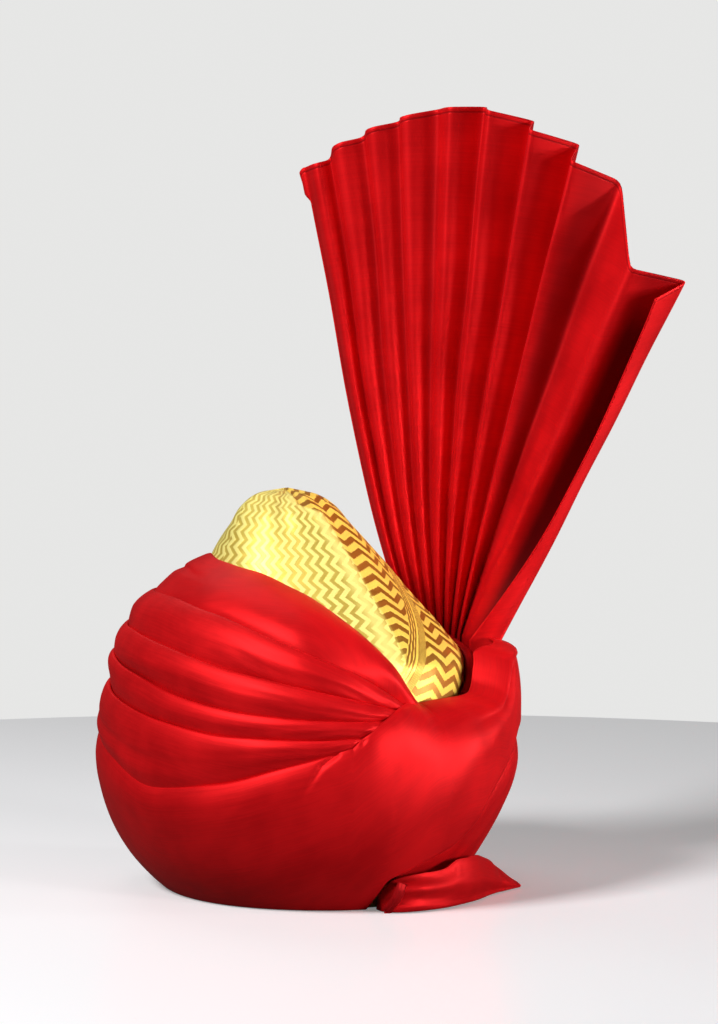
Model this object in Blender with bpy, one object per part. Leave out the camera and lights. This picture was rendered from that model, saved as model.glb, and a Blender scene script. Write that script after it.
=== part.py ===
# Tied turban pagri: a brocade cap wound with satin, with a pleated fan and a free tail.
# Metres, +Z up. The wearer's front looks along -Y and the wearer's left is +X.
# The pieces are made round the axis of the head opening, then moved together at the end, so that
# the origin is the middle of the whole thing's outline on the plane that the rim stands on.
# A turn is the angle round that axis from the front, in degrees, positive to the wearer's left.
# A reach is a share of the way from the cap (0) to the outside of the wound body (1).

import math

import bpy
import numpy as np

# Sizes of the body
HEIGHT_CAP = 0.256
HEIGHT_WIDEST = 0.106
RADIUS_BODY = 0.1345
RADIUS_RIM = 0.095
RADIUS_CAP = 0.099
LONG = 1.07
WIDE = 0.965
TUCK_POWER = 3.0
TILT = 0.014
TILT_TURN = 60.0

# Cap
WALL_CAP = 0.0025
LEAN_CAP = 0.015
LEAN_FROM = 0.150
LEAN_TURN = 60.0
FACET_SHARE = 0.03
FACET_TURN = 8.0
PINCH = 0.0025
CAP_TURNS = 44

# Wound layers
CLEARANCE = 0.0011
GAP = 0.0005
EDGE_GAP = 0.0011
ROLL = 0.0050
SHOULDER = 0.7
ROLL_SHARE = 0.25
ROLL_LIFT = 0.006
LEAF_SINK = 0.23
STEP_TURN = 7.5
BACK_TURN = -240.0
SPLIT_TURN = -30.0
FRONT_STEPS = 6
WRAP_START = 119.4
WRAP_END = -362.0
POCKET = 0.0095
POCKET_FROM = 26.0
POCKET_TO = 37.5

# Inner layer
LAYER_THICK = 0.0065
LAYER_LOW = 0.112

# Fan
FAN_LENGTH = 0.344
FAN_ROOT_HEIGHT = 0.1552
FAN_ROOT_LEFT = (0.066, 0.078)
FAN_ROOT_RIGHT = (0.127, 0.008)
FAN_ROOT_BULGE = 0.005
FAN_TOP_DEPTH = 0.075
FAN_TOP_SLOPE = -0.5
FAN_BOW = 0.0075
FAN_WALL = 0.0014
PLEAT_ROOT = 0.0055
PLEAT_TOP = 0.0155
FAN_TURN = -30.0

# Tail and its loop
TAIL_HEIGHT = 0.030
TAIL_REACH = 0.1345
TAIL_SNUG = 0.0010
FLOOR_GAP = 0.0002
LOOP_WIDTH = 0.006
LOOP_THICK = 0.002
LOOP_GAP = 0.0005

# Cap outline, rows from the rim to the top
# height share, radius share
CAP_ROWS = (
    (0.000, 0.889),
    (0.235, 0.950),
    (0.430, 1.000),
    (0.565, 0.990),
    (0.640, 0.874),
    (0.730, 0.697),
    (0.830, 0.545),
    (0.914, 0.379),
    (0.960, 0.273),
    (0.988, 0.172),
    (1.000, 0.000),
)

# Creases between the side folds, one row each, from the gold down
# The heights are shares of the cap's height at the stations below, from the back to the front.
# name, end turn, end reach, heights
STATIONS = (0.0, 0.1, 0.2, 0.32, 0.44, 0.54, 0.64, 0.74, 0.84, 0.92, 1.0)
CREASES = (
    ("top", 7.0, 0.12, (0.715, 0.754, 0.781, 0.809, 0.822, 0.824, 0.818, 0.799, 0.752, 0.668, 0.494)),
    ("second", -1.0, 0.45, (0.625, 0.672, 0.699, 0.719, 0.730, 0.732, 0.731, 0.707, 0.645, 0.578, 0.490)),
    ("third", -5.5, 0.70, (0.574, 0.605, 0.629, 0.646, 0.652, 0.650, 0.637, 0.602, 0.562, 0.525, 0.486)),
    ("fourth", -10.5, 0.90, (0.523, 0.547, 0.566, 0.580, 0.582, 0.578, 0.555, 0.514, 0.479, 0.470, 0.467)),
    ("fifth", -16.6, 1.00, (0.473, 0.488, 0.500, 0.510, 0.512, 0.504, 0.479, 0.447, 0.425, 0.426, 0.431)),
    ("edge", -21.0, 1.00, (0.410, 0.414, 0.414, 0.414, 0.406, 0.387, 0.344, 0.289, 0.311, 0.356, 0.401)),
)

# Short crease in the top fold that fades out toward the front
# turn where it is deepest, turn where it has gone, place across the fold, depth
SHORT_CREASE = (-105.0, -72.0, 0.42, 0.0045)

# Upper edge of the front wrap along its whole turn
# turn, height share, reach
WRAP_UPPER = (
    (119.4, 0.600, 0.45),
    (80.0, 0.600, 0.45),
    (62.0, 0.590, 0.42),
    (55.0, 0.550, 0.30),
    (46.0, 0.510, 0.20),
    (39.0, 0.497, 0.14),
    (28.0, 0.491, 0.12),
    (18.0, 0.491, 0.12),
    (7.5, 0.487, 0.12),
    (-1.0, 0.485, 0.45),
    (-5.5, 0.480, 0.70),
    (-10.5, 0.461, 0.90),
    (-16.6, 0.427, 1.00),
    (-21.0, 0.396, 1.00),
)

# Lower edge of the front wrap before it reaches the rim
# turn, height share
WRAP_LOWER = (
    (119.4, 0.408),
    (70.0, 0.416),
    (50.0, 0.408),
    (38.5, 0.345),
    (27.7, 0.274),
    (22.4, 0.214),
    (14.2, 0.160),
    (6.8, 0.133),
    (-1.0, 0.103),
    (-6.7, 0.082),
    (-9.0, 0.040),
    (-10.5, 0.0),
)

# Upper edge of the inner layer
# turn, height share
LAYER_ROWS = (
    (118.8, 0.705),
    (104.0, 0.685),
    (90.0, 0.655),
    (81.0, 0.620),
    (67.0, 0.598),
    (58.0, 0.575),
    (50.0, 0.540),
    (40.0, 0.500),
)

# Fan, one row for each fold line from the left edge to the free right edge
# lean in degrees from upright, length share, side (1 away from the viewer, -1 toward)
FAN_ROWS = (
    (-12.8, 0.918, 1),
    (-12.5, 0.921, -1),
    (-11.0, 0.926, 1),
    (-11.1, 0.954, -1),
    (-8.0, 0.959, 1),
    (-8.3, 0.974, -1),
    (-5.2, 0.980, 1),
    (-5.7, 0.989, -1),
    (-2.2, 0.998, 1),
    (-1.9, 0.998, -1),
    (1.9, 1.000, 1),
    (1.3, 0.989, -1),
    (6.1, 0.976, 1),
    (4.9, 0.953, -1),
    (10.3, 0.940, 1),
    (8.8, 0.901, -1),
    (14.8, 0.884, 1),
    (18.1, 0.729, -1),
    (25.6, 0.743, 1),
    (22.0, 0.686, -1),
)

# Tail, rows from the loop to the tip
# turn, inner foot, outer foot, inner top, outer top as shares of the reach, height share
TAIL_ROWS = (
    (-7.0, 0.735, 0.780, 0.745, 0.775, 0.35),
    (-4.0, 0.730, 0.825, 0.805, 0.838, 0.70),
    (4.0, 0.730, 0.850, 0.848, 0.878, 0.90),
    (16.0, 0.730, 0.865, 0.865, 0.892, 1.00),
    (28.0, 0.735, 0.870, 0.862, 0.890, 0.98),
    (38.0, 0.745, 0.878, 0.852, 0.886, 0.86),
    (45.0, 0.785, 0.900, 0.850, 0.890, 0.68),
    (50.0, 0.860, 0.940, 0.885, 0.925, 0.44),
    (53.5, 0.930, 0.975, 0.940, 0.965, 0.24),
    (55.5, 0.985, 1.000, 0.988, 0.998, 0.12),
)


def smooth_curve(rows_x, rows_y, x):
    """Value at x of a smooth curve through the rows, without overshoot between them."""
    rows_x = np.asarray(rows_x, float)
    rows_y = np.asarray(rows_y, float)
    if rows_x[0] > rows_x[-1]:
        rows_x = rows_x[::-1]
        rows_y = rows_y[::-1]
    step = np.diff(rows_x)
    slope = np.diff(rows_y) / step
    tangent = np.zeros(len(rows_x))
    same = slope[1:] * slope[:-1] > 0
    mean = 2.0 * slope[1:] * slope[:-1] / np.where(same, slope[1:] + slope[:-1], 1.0)
    tangent[1:-1] = np.where(same, mean, 0.0)
    tangent[0] = slope[0]
    tangent[-1] = slope[-1]
    x = np.clip(np.asarray(x, float), rows_x[0], rows_x[-1])
    k = np.clip(np.searchsorted(rows_x, x, side="right") - 1, 0, len(step) - 1)
    t = (x - rows_x[k]) / step[k]
    near = (1 + 2 * t) * (1 - t) ** 2 * rows_y[k] + t * (1 - t) ** 2 * step[k] * tangent[k]
    far = t * t * (3 - 2 * t) * rows_y[k + 1] + t * t * (t - 1) * step[k] * tangent[k + 1]
    return near + far


def ease(low, high, x):
    """0 below low, 1 above high, smooth between."""
    t = np.clip((np.asarray(x, float) - low) / (high - low), 0.0, 1.0)
    return t * t * (3 - 2 * t)


def cap_radius(turn, z):
    """Radius of the cap's outer face at a turn and height, with its four soft facets."""
    rows = np.array(CAP_ROWS)
    plain = RADIUS_CAP * smooth_curve(rows[:, 0] * HEIGHT_CAP, rows[:, 1], z)
    facet = FACET_SHARE * np.cos(4 * np.radians(np.asarray(turn, float) - FACET_TURN))
    return plain * (1 + facet * ease(0.55 * HEIGHT_CAP, 0.80 * HEIGHT_CAP, z))


def body_radius(turn, z):
    """Radius of the wound body: a ball above its widest level, which is tilted, tucked in below."""
    z = np.asarray(z, float)
    widest = HEIGHT_WIDEST + TILT * np.cos(np.radians(np.asarray(turn, float) - TILT_TURN))
    low = np.clip((widest - z) / widest, 0.0, 1.0)
    below = RADIUS_RIM + (RADIUS_BODY - RADIUS_RIM) * (1 - low ** TUCK_POWER)
    above = np.sqrt(np.maximum(RADIUS_BODY ** 2 - (z - widest) ** 2, 1e-8))
    return np.where(z < widest, below, above)


def place(turn, radius, z):
    """Point for a turn, a radius and a height, on the long head oval, leaned with the cap."""
    angle = np.radians(np.asarray(turn, float))
    z = np.asarray(z, float)
    lean = LEAN_CAP * ease(LEAN_FROM, HEIGHT_CAP, z)
    toward = math.radians(LEAN_TURN)
    x = radius * WIDE * np.sin(angle) - lean * math.sin(toward)
    y = -radius * LONG * np.cos(angle) + lean * math.cos(toward)
    return np.stack(np.broadcast_arrays(x, y, z), axis=-1)


def blend_radius(turn, z, reach, inside=CLEARANCE):
    """Radius at a reach between the cap and the outside of the body."""
    cap = cap_radius(turn, np.clip(z, 0.0, HEIGHT_CAP)) + inside
    return cap + reach * (np.maximum(body_radius(turn, z), cap) - cap)


def sink(z, reach):
    """Height on the cap that belongs to a height on the outside."""
    return z - np.maximum(z - HEIGHT_WIDEST, 0.0) * LEAF_SINK * reach


def crease(row, turns):
    """Turn, height and reach of one crease at the given station numbers."""
    name, end_turn, end_reach, heights = row
    row_turns = BACK_TURN + (end_turn - BACK_TURN) * np.array(STATIONS)
    own = np.where(turns <= SPLIT_TURN, turns, 0.0)
    front = (turns - SPLIT_TURN) / (0.0 - SPLIT_TURN)
    own = np.where(turns > SPLIT_TURN, SPLIT_TURN + (end_turn - SPLIT_TURN) * front, own)
    z = HEIGHT_CAP * smooth_curve(row_turns, heights, own)
    if name == "top":
        reach = np.full(len(own), end_reach)
    else:
        reach = 1 + (end_reach - 1) * ease(SPLIT_TURN - 6.0, end_turn, own)
    return own, z, reach


def fold_stations():
    """Common turns of the side folds, the last ones stand for the way into the gather."""
    back = np.arange(BACK_TURN, SPLIT_TURN + 0.1, STEP_TURN)
    front = SPLIT_TURN - SPLIT_TURN * np.arange(1, FRONT_STEPS + 1) / FRONT_STEPS
    return np.concatenate([back, front])


ACROSS_FOLD = np.array([0.0, 0.06, 0.18, 0.38, 0.62, 0.84, 0.96, 1.0])
SCALLOP_FOLD = np.array([0.15, 0.75, 1.0, 0.85, 0.35, -0.25, -0.60, -0.75])
ACROSS_WRAP = np.array([0.0, 0.015, 0.05, 0.11, 0.20, 0.32, 0.46, 0.60, 0.74, 0.87, 1.0])
SCALLOP_WRAP = np.array([0.2, 0.6, 1.0, 1.0, 0.8, 0.45, 0.2, 0.0, 0.0, 0.0, 0.0])


def band(upper, lower, across, scallop, inside, recess=0.0, inner_count=4, full=1.0, lift=0.0):
    """Rings of a wound band: outside from the upper to the lower edge, then back along the cap."""
    turn_u, z_u, reach_u = (np.asarray(v, float)[:, None] for v in upper)
    turn_l, z_l, reach_l = (np.asarray(v, float)[:, None] for v in lower)
    inside = np.asarray(inside, float).reshape(-1, 1)
    recess = np.asarray(recess, float).reshape(-1, 1)
    t = across[None, :]
    turn = turn_u + (turn_l - turn_u) * t
    lift = np.asarray(lift, float).reshape(-1, 1)
    z = z_u + (z_l - z_u) * t + lift * np.sin(math.pi * np.clip(t / ROLL_SHARE, 0.0, 1.0))
    shoulder = np.sqrt(1 - (1 - np.minimum(t / full, 1.0)) ** 2)
    reach = reach_u + (reach_l - reach_u) * shoulder - recess * (0.08 + 0.17 * (1 - z / HEIGHT_WIDEST))
    width = np.hypot(z_l - z_u, np.radians(turn_l - turn_u) * RADIUS_BODY)
    swell = ROLL * np.clip(width / 0.022, 0.0, 1.0) * scallop[None, :] * (1 - recess)
    radius = blend_radius(turn, z, reach, inside) + swell * ease(0.0, 0.03, z)
    if_short = SHORT_CREASE if reach_u.max() < 0.2 and reach_l.max() > 0.9 and len(across) == 8 else None
    if if_short:
        deep, gone, at, depth = if_short
        along = 1 - ease(deep, gone, turn)
        radius = radius - depth * along * np.exp(-((t - at) / 0.10) ** 2)
    radius = np.maximum(radius, blend_radius(turn, z, 0.0, inside) + 0.0012)
    outer = place(turn, radius, z)
    back = np.linspace(1.0, 0.0, inner_count)[None, :]
    turn_i = turn_u + (turn_l - turn_u) * back
    low = sink(z_l, reach_l)
    high = sink(z_u, reach_u)
    z_i = high + (low - high) * back
    inner = place(turn_i, blend_radius(turn_i, z_i, 0.0, inside), z_i)
    return np.concatenate([outer, inner], axis=1)


def zip_cap(outer, inner):
    """Triangles of an end face between two rows of corners that run the same way."""
    faces = []
    i = 0
    j = 0
    while i < len(outer) - 1 or j < len(inner) - 1:
        ahead_outer = (i + 1) / (len(outer) - 1)
        ahead_inner = (j + 1) / (len(inner) - 1)
        if j == len(inner) - 1 or (i < len(outer) - 1 and ahead_outer <= ahead_inner):
            faces.append((outer[i], outer[i + 1], inner[j]))
            i += 1
        else:
            faces.append((outer[i], inner[j + 1], inner[j]))
            j += 1
    return faces


def loft(name, rings, outer_count, colour, rough=0.45, metal=0.0):
    """Closed solid from rings of equal count, each end closed between its outside and inside."""
    rings = np.asarray(rings, float)
    n, m = rings.shape[:2]
    faces = []
    for i in range(n - 1):
        for j in range(m):
            k = (j + 1) % m
            a = i * m + j
            b = i * m + k
            c = (i + 1) * m + k
            d = (i + 1) * m + j
            if j == m - 1:
                faces.append((a, b, d))
                faces.append((b, c, d))
            else:
                faces.append((a, b, c))
                faces.append((a, c, d))
    for start, flip in ((0, True), ((n - 1) * m, False)):
        outside = [start + j for j in range(outer_count)]
        inside = [start + m - 1 - j for j in range(m - outer_count)]
        for face in zip_cap(outside, inside):
            faces.append(face[::-1] if flip else face)
    return make_solid(name, rings.reshape(-1, 3), faces, colour, rough, metal)


def make_solid(name, points, faces, colour, rough=0.45, metal=0.0):
    """Object with its own plain material, faces turned outward."""
    mesh = bpy.data.meshes.new(name)
    mesh.from_pydata([tuple(p) for p in points], [], [tuple(f) for f in faces])
    mesh.validate()
    volume = 0.0
    for polygon in mesh.polygons:
        corners = [np.array(mesh.vertices[v].co) for v in polygon.vertices]
        for k in range(1, len(corners) - 1):
            volume += float(np.dot(corners[0], np.cross(corners[k], corners[k + 1]))) / 6
    if volume < 0:
        mesh.flip_normals()
    for polygon in mesh.polygons:
        polygon.use_smooth = True
    material = bpy.data.materials.new(name)
    material.use_nodes = True
    shader = material.node_tree.nodes["Principled BSDF"]
    shader.inputs["Base Color"].default_value = (*colour, 1.0)
    shader.inputs["Roughness"].default_value = rough
    shader.inputs["Metallic"].default_value = metal
    mesh.materials.append(material)
    solid = bpy.data.objects.new(name, mesh)
    bpy.context.scene.collection.objects.link(solid)
    print(name, len(faces), "faces", round(abs(volume) * 1e6, 1), "cm3")
    return solid


RED = (0.62, 0.012, 0.018)
DEEP_RED = (0.45, 0.008, 0.014)
GOLD = (0.80, 0.52, 0.10)


def make_cap():
    """The cap as one closed shell: outer face up to the top, inner face back down."""
    rows = np.array(CAP_ROWS)
    share = np.array([0.0, 0.16, 0.32, 0.45, 0.54, 0.59, 0.63, 0.67, 0.71, 0.75, 0.79, 0.83, 0.87])
    share = np.append(share, [0.91, 0.945, 0.975, 0.99])
    heights = share * HEIGHT_CAP
    turns = -np.arange(CAP_TURNS) * 360.0 / CAP_TURNS
    rings = []
    for z in heights:
        radius = cap_radius(turns, np.full(CAP_TURNS, z))
        pinch = PINCH * ease(0.9 * HEIGHT_CAP, HEIGHT_CAP, z) * np.sin(3 * np.radians(turns))
        rings.append(place(turns, radius, z + pinch))
    for z in heights[::-1]:
        drop = WALL_CAP * ease(0.6 * HEIGHT_CAP, 0.9 * HEIGHT_CAP, z)
        level = np.full(CAP_TURNS, z)
        radius = cap_radius(turns, level) - WALL_CAP * (1 + 0.3 * ease(0.6 * HEIGHT_CAP, HEIGHT_CAP, z))
        pinch = PINCH * ease(0.9 * HEIGHT_CAP, HEIGHT_CAP, z) * np.sin(3 * np.radians(turns))
        rings.append(place(turns, radius, z - drop + pinch))
    points = np.array(rings).reshape(-1, 3)
    n = CAP_TURNS
    count = len(rings)
    half = count // 2
    faces = []
    for i in list(range(half - 1)) + list(range(half, count - 1)) + [count - 1]:
        below = i * n
        above = ((i + 1) % count) * n
        for j in range(n):
            k = (j + 1) % n
            faces.append((below + j, below + k, above + k, above + j))
    top = len(points)
    lift = 0.995 * HEIGHT_CAP
    centre = [place(0.0, 0.0, lift), place(0.0, 0.0, lift - WALL_CAP * 1.2)]
    points = np.concatenate([points, np.array(centre)])
    for j in range(n):
        k = (j + 1) % n
        faces.append(((half - 1) * n + j, (half - 1) * n + k, top))
        faces.append((half * n + k, half * n + j, top + 1))
    make_solid("kulla_cap", points, faces, GOLD, 0.35, 0.6)


def make_folds():
    """Five bands between neighbouring creases; the first one starts on the cap."""
    stations = fold_stations()
    lines = [crease(row, stations) for row in CREASES]
    for k in range(len(lines) - 1):
        turn_u, z_u, reach_u = lines[k]
        turn_l, z_l, reach_l = lines[k + 1]
        last = k == len(lines) - 2
        upper = (turn_u, z_u - GAP / 2, reach_u)
        lower = (turn_l, z_l + (EDGE_GAP if last else GAP / 2), reach_l)
        rings = band(upper, lower, ACROSS_FOLD, SCALLOP_FOLD, CLEARANCE, inner_count=5 if k == 0 else 4)
        loft("side_fold_%d" % (k + 1), rings, len(ACROSS_FOLD), RED)


def wrap_upper(turn):
    """Height and reach of the front wrap's upper edge at a turn of its whole way round."""
    rows = np.array(WRAP_UPPER)
    folds = crease(CREASES[-1], fold_stations())
    under = np.array(WRAP_LOWER)
    turn = np.asarray(turn, float)
    front_z = HEIGHT_CAP * smooth_curve(rows[:, 0], rows[:, 1], turn)
    front_reach = smooth_curve(rows[:, 0], rows[:, 2], turn)
    side_z = np.interp(turn, folds[0], folds[1])
    under_z = HEIGHT_CAP * smooth_curve(under[:, 0], under[:, 1], turn + 360.0)
    z = np.where(turn > rows[-1, 0], front_z, np.where(turn > BACK_TURN, side_z, under_z))
    reach = np.where(turn > rows[-1, 0], front_reach, 1.0)
    return z, reach


def make_wrap():
    """One band that goes round once and ends as the layer below its own start."""
    base = np.arange(-360.0, 112.6, STEP_TURN)
    fine = np.array([-1.0, -3.0, -5.0, -8.0, -9.5, -11.0, -13.0, -17.0, -19.0, -21.0, -25.0])
    more = np.array([WRAP_START, WRAP_START - 360.0, WRAP_END, WRAP_END + 360.0])
    turns = np.unique(np.concatenate([base, fine, more]))[::-1]
    turns = turns[(turns <= WRAP_START) & (turns >= WRAP_END)]
    z_u, reach = wrap_upper(turns)
    front_gap = 0.0008 * ease(-45.0, -20.0, turns) * (1 - ease(8.0, 20.0, turns))
    z_u = z_u - GAP / 2 - front_gap
    under = np.array(WRAP_LOWER)
    z_l = HEIGHT_CAP * smooth_curve(under[:, 0], under[:, 1], turns)
    z_l = np.where(turns >= under[-1, 0], z_l + GAP / 2 * (z_l > 0.001), 0.0)
    z_l = np.where(turns < under[-1, 0], 0.0, z_l)
    inside = CLEARANCE + (POCKET - CLEARANCE) * ease(POCKET_FROM, POCKET_TO, turns)
    recess = 1 - ease(-300.0, -262.0, turns)
    upper = (turns, z_u, reach)
    lower = (turns, z_l, np.ones(len(turns)))
    lift = ROLL_LIFT * ease(POCKET_TO, POCKET_TO + 18.0, turns)
    bend = {"recess": recess, "full": SHOULDER, "lift": lift}
    rings = band(upper, lower, ACROSS_WRAP, SCALLOP_WRAP, inside, inner_count=5, **bend)
    loft("front_wrap", rings, len(ACROSS_WRAP), RED)


def make_layer():
    """The thin layer against the cap between the cap and the fan."""
    rows = np.array(LAYER_ROWS)
    turns = np.linspace(rows[0, 0], rows[-1, 0], 13)
    rings = []
    for turn in turns:
        top = HEIGHT_CAP * float(smooth_curve(rows[:, 0], rows[:, 1], turn))
        down = np.array([0.0, 0.0, 0.06, 0.25, 0.5, 0.75, 1.0])
        levels = top - down * (top - LAYER_LOW)
        deep = np.array([0.30, 0.70, 1.0, 1.0, 1.0, 1.0, 0.9]) * LAYER_THICK
        outer = place(turn, cap_radius(turn, levels) + CLEARANCE + deep, levels)
        levels = top - np.linspace(1.0, 0.03, 7) * (top - LAYER_LOW)
        inner = place(turn, cap_radius(turn, levels) + CLEARANCE * 1.3, levels)
        rings.append(np.concatenate([outer, inner]))
    loft("inner_layer", rings, 7, DEEP_RED)


def from_fan_frame(u, depth, z):
    """Point from the fan's own width, depth and height."""
    angle = math.radians(FAN_TURN)
    x = u * math.cos(angle) - depth * math.sin(angle)
    y = u * math.sin(angle) + depth * math.cos(angle)
    return np.stack(np.broadcast_arrays(x, y, z), axis=-1)


def fan_sheet(across, along):
    """Middle surface of the fan: fold line number and share of the line's length to a point."""
    rows = np.array(FAN_ROWS, float)
    count = len(rows)
    share = np.arange(count) / (count - 1)
    bulge = FAN_ROOT_BULGE * 4 * share * (1 - share)
    root_u = FAN_ROOT_LEFT[0] + (FAN_ROOT_RIGHT[0] - FAN_ROOT_LEFT[0]) * share + bulge * 0.7
    root_d = FAN_ROOT_LEFT[1] + (FAN_ROOT_RIGHT[1] - FAN_ROOT_LEFT[1]) * share + bulge * 0.7
    lean = np.radians(rows[:, 0])
    length = FAN_LENGTH * rows[:, 1]
    top_u = root_u + length * np.sin(lean)
    top_z = FAN_ROOT_HEIGHT + length * np.cos(lean)
    top_d = FAN_TOP_DEPTH + FAN_TOP_SLOPE * top_u
    v = along
    u = root_u + (top_u - root_u) * v - FAN_BOW * (1 - share) * 6.75 * v * (1 - v) ** 2
    u = u + FAN_BOW * ease(0.82, 1.0, share) * 4 * v * (1 - v)
    z = FAN_ROOT_HEIGHT + (top_z - FAN_ROOT_HEIGHT) * v
    depth = root_d + (top_d - root_d) * v
    depth = depth + rows[:, 2] * (PLEAT_ROOT + (PLEAT_TOP - PLEAT_ROOT) * v)
    line = np.arange(count)
    return np.stack([np.interp(across, line, u), np.interp(across, line, depth), np.interp(across, line, z)])


def make_fan():
    """Pleated wall: each row of the sheet is a zigzag, given its thickness by mitred corners."""
    count = len(FAN_ROWS)
    rings = []
    for v in (0.0, 0.12, 0.30, 0.55, 0.80, 1.0):
        u, depth, z = fan_sheet(np.arange(count), v)
        line = np.stack([u, depth], axis=-1)
        step = np.diff(line, axis=0)
        step = step / np.linalg.norm(step, axis=1)[:, None]
        normal = np.stack([-step[:, 1], step[:, 0]], axis=-1)
        first = np.vstack([normal[:1], normal])
        second = np.vstack([normal, normal[-1:]])
        mitre = first + second
        length = np.maximum((mitre ** 2).sum(axis=1), 0.12)
        offset = mitre / length[:, None] * 2 * (FAN_WALL / 2)
        offset[0] = normal[0] * FAN_WALL / 2
        offset[-1] = normal[-1] * FAN_WALL / 2
        far = line + offset
        near = line - offset
        ring = [from_fan_frame(far[:, 0], far[:, 1], z), from_fan_frame(near[::-1, 0], near[::-1, 1], z[::-1])]
        rings.append(np.concatenate(ring))
    loft("turra_fan", rings, count, RED)


def make_tail():
    """The free end on the table: foot and top edges in rows, narrowing to the tip."""
    rows = np.array(TAIL_ROWS)
    turns = np.linspace(rows[0, 0], rows[-1, 0], 17)
    rings = []
    for turn in turns:
        value = [float(smooth_curve(rows[:, 0], rows[:, k], turn)) for k in range(1, 6)]
        foot_in, foot_out, top_in, top_out = [v * TAIL_REACH for v in value[:4]]
        tall = value[4] * TAIL_HEIGHT
        z = np.array([0.97, 1.0, 0.80, 0.45, 0.16, 0.0]) * tall + FLOOR_GAP
        side = np.array([top_in * 0.5 + top_out * 0.5, top_out - 0.001, top_out, 0, 0, foot_out])
        side[3] = top_out * 0.45 + foot_out * 0.55 + 0.0012
        side[4] = top_out * 0.12 + foot_out * 0.88 + 0.0010
        outer = place(turn, side, z)
        z = np.array([0.0, 0.30, 0.75, 0.93]) * tall + FLOOR_GAP
        hollow = foot_in + (top_in - foot_in) * np.array([0.0, 0.42, 0.85, 1.0]) - TAIL_SNUG
        inner = place(turn, hollow, z)
        rings.append(np.concatenate([outer, inner]))
    loft("tail_end", rings, 6, RED)


def tail_face(turn, share):
    """Radius and height of the tail's outer face at a turn, share 0 at the foot, 1 at the top."""
    rows = np.array(TAIL_ROWS)
    foot_out = TAIL_REACH * smooth_curve(rows[:, 0], rows[:, 2], turn)
    top_out = TAIL_REACH * smooth_curve(rows[:, 0], rows[:, 4], turn)
    tall = TAIL_HEIGHT * smooth_curve(rows[:, 0], rows[:, 5], turn)
    radius = foot_out + (top_out - foot_out) * share + 0.0014 * np.sin(math.pi * share)
    return radius, tall * share


def make_loop():
    """Narrow strap that runs up the outer face of the tail's left end to the edge of the wrap."""
    share = np.linspace(0.04, 0.86, 8)
    turn = -4.5 + 5.0 * share
    radius, z = tail_face(turn, share)
    radius = radius + LOOP_GAP + 0.0010 - 0.0012 * ease(0.7, 1.0, share)
    path = place(turn, radius, z)
    tangent = np.gradient(path, axis=0)
    tangent = tangent / np.linalg.norm(tangent, axis=1)[:, None]
    outward = np.array([math.sin(math.radians(-2.0)), -math.cos(math.radians(-2.0)), 0.0])
    side = np.cross(tangent, outward)
    side = side / np.linalg.norm(side, axis=1)[:, None]
    normal = np.cross(side, tangent)
    rings = []
    for p, s, n in zip(path, side, normal):
        half = LOOP_WIDTH / 2
        corners = [(-half, LOOP_THICK), (-half * 0.4, LOOP_THICK * 1.15), (half * 0.4, LOOP_THICK * 1.15)]
        corners += [(half, LOOP_THICK), (half, 0.0), (-half, 0.0)]
        rings.append([p + a * s + b * n for a, b in corners])
    loft("tail_loop", np.array(rings), 4, DEEP_RED)


for item in list(bpy.data.objects):
    bpy.data.objects.remove(item, do_unlink=True)

make_cap()
make_folds()
make_wrap()
make_layer()
make_fan()
make_tail()
make_loop()


def centre_on_floor():
    """Move every piece by one step, so the middle of the outline seen from above is the origin."""
    meshes = [item.data for item in bpy.context.scene.objects if item.type == "MESH"]
    points = np.array([tuple(v.co) for mesh in meshes for v in mesh.vertices])
    middle = (points.min(axis=0) + points.max(axis=0)) / 2
    for mesh in meshes:
        for vertex in mesh.vertices:
            vertex.co.x -= middle[0]
            vertex.co.y -= middle[1]
    print("axis of the head opening at", round(-middle[0], 5), round(-middle[1], 5))


centre_on_floor()
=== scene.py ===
# %% [markdown]
# A tied turban pagri, piece by piece.
# On the real thing a stiff cap, the kulla, is covered with zigzag brocade. A long red satin cloth
# is wound round it: five pleats run over the wearer's right side into a gather at the front, one
# wide smooth wrap closes the front and goes on round the head, a pleated fan stands up at the
# wearer's left and a short free end lies on the table.
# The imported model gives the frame. Each piece below is the cloth that stands for one of its solids.

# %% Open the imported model
import math

import bpy
import numpy as np
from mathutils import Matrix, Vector


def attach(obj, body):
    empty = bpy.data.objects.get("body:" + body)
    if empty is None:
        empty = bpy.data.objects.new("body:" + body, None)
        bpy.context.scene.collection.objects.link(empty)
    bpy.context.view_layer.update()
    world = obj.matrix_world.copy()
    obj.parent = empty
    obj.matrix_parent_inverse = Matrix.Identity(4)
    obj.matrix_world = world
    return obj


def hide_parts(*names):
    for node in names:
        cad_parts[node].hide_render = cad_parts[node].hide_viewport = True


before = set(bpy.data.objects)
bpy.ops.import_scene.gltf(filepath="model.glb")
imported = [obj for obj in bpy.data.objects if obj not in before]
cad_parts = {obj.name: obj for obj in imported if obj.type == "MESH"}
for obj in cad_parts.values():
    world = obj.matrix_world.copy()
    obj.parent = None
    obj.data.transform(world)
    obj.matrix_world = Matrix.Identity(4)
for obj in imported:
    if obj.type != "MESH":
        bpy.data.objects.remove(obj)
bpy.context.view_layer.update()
print("nodes:", ", ".join(sorted(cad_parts)))

# %% [markdown]
# First the sizes. They repeat the named sizes of the part's source, in metres, because this script
# can't read that file. A turn is the angle round the head opening from the front, in degrees,
# positive to the wearer's left. A reach is a share of the way from the cap (0) to the outside (1).

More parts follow.
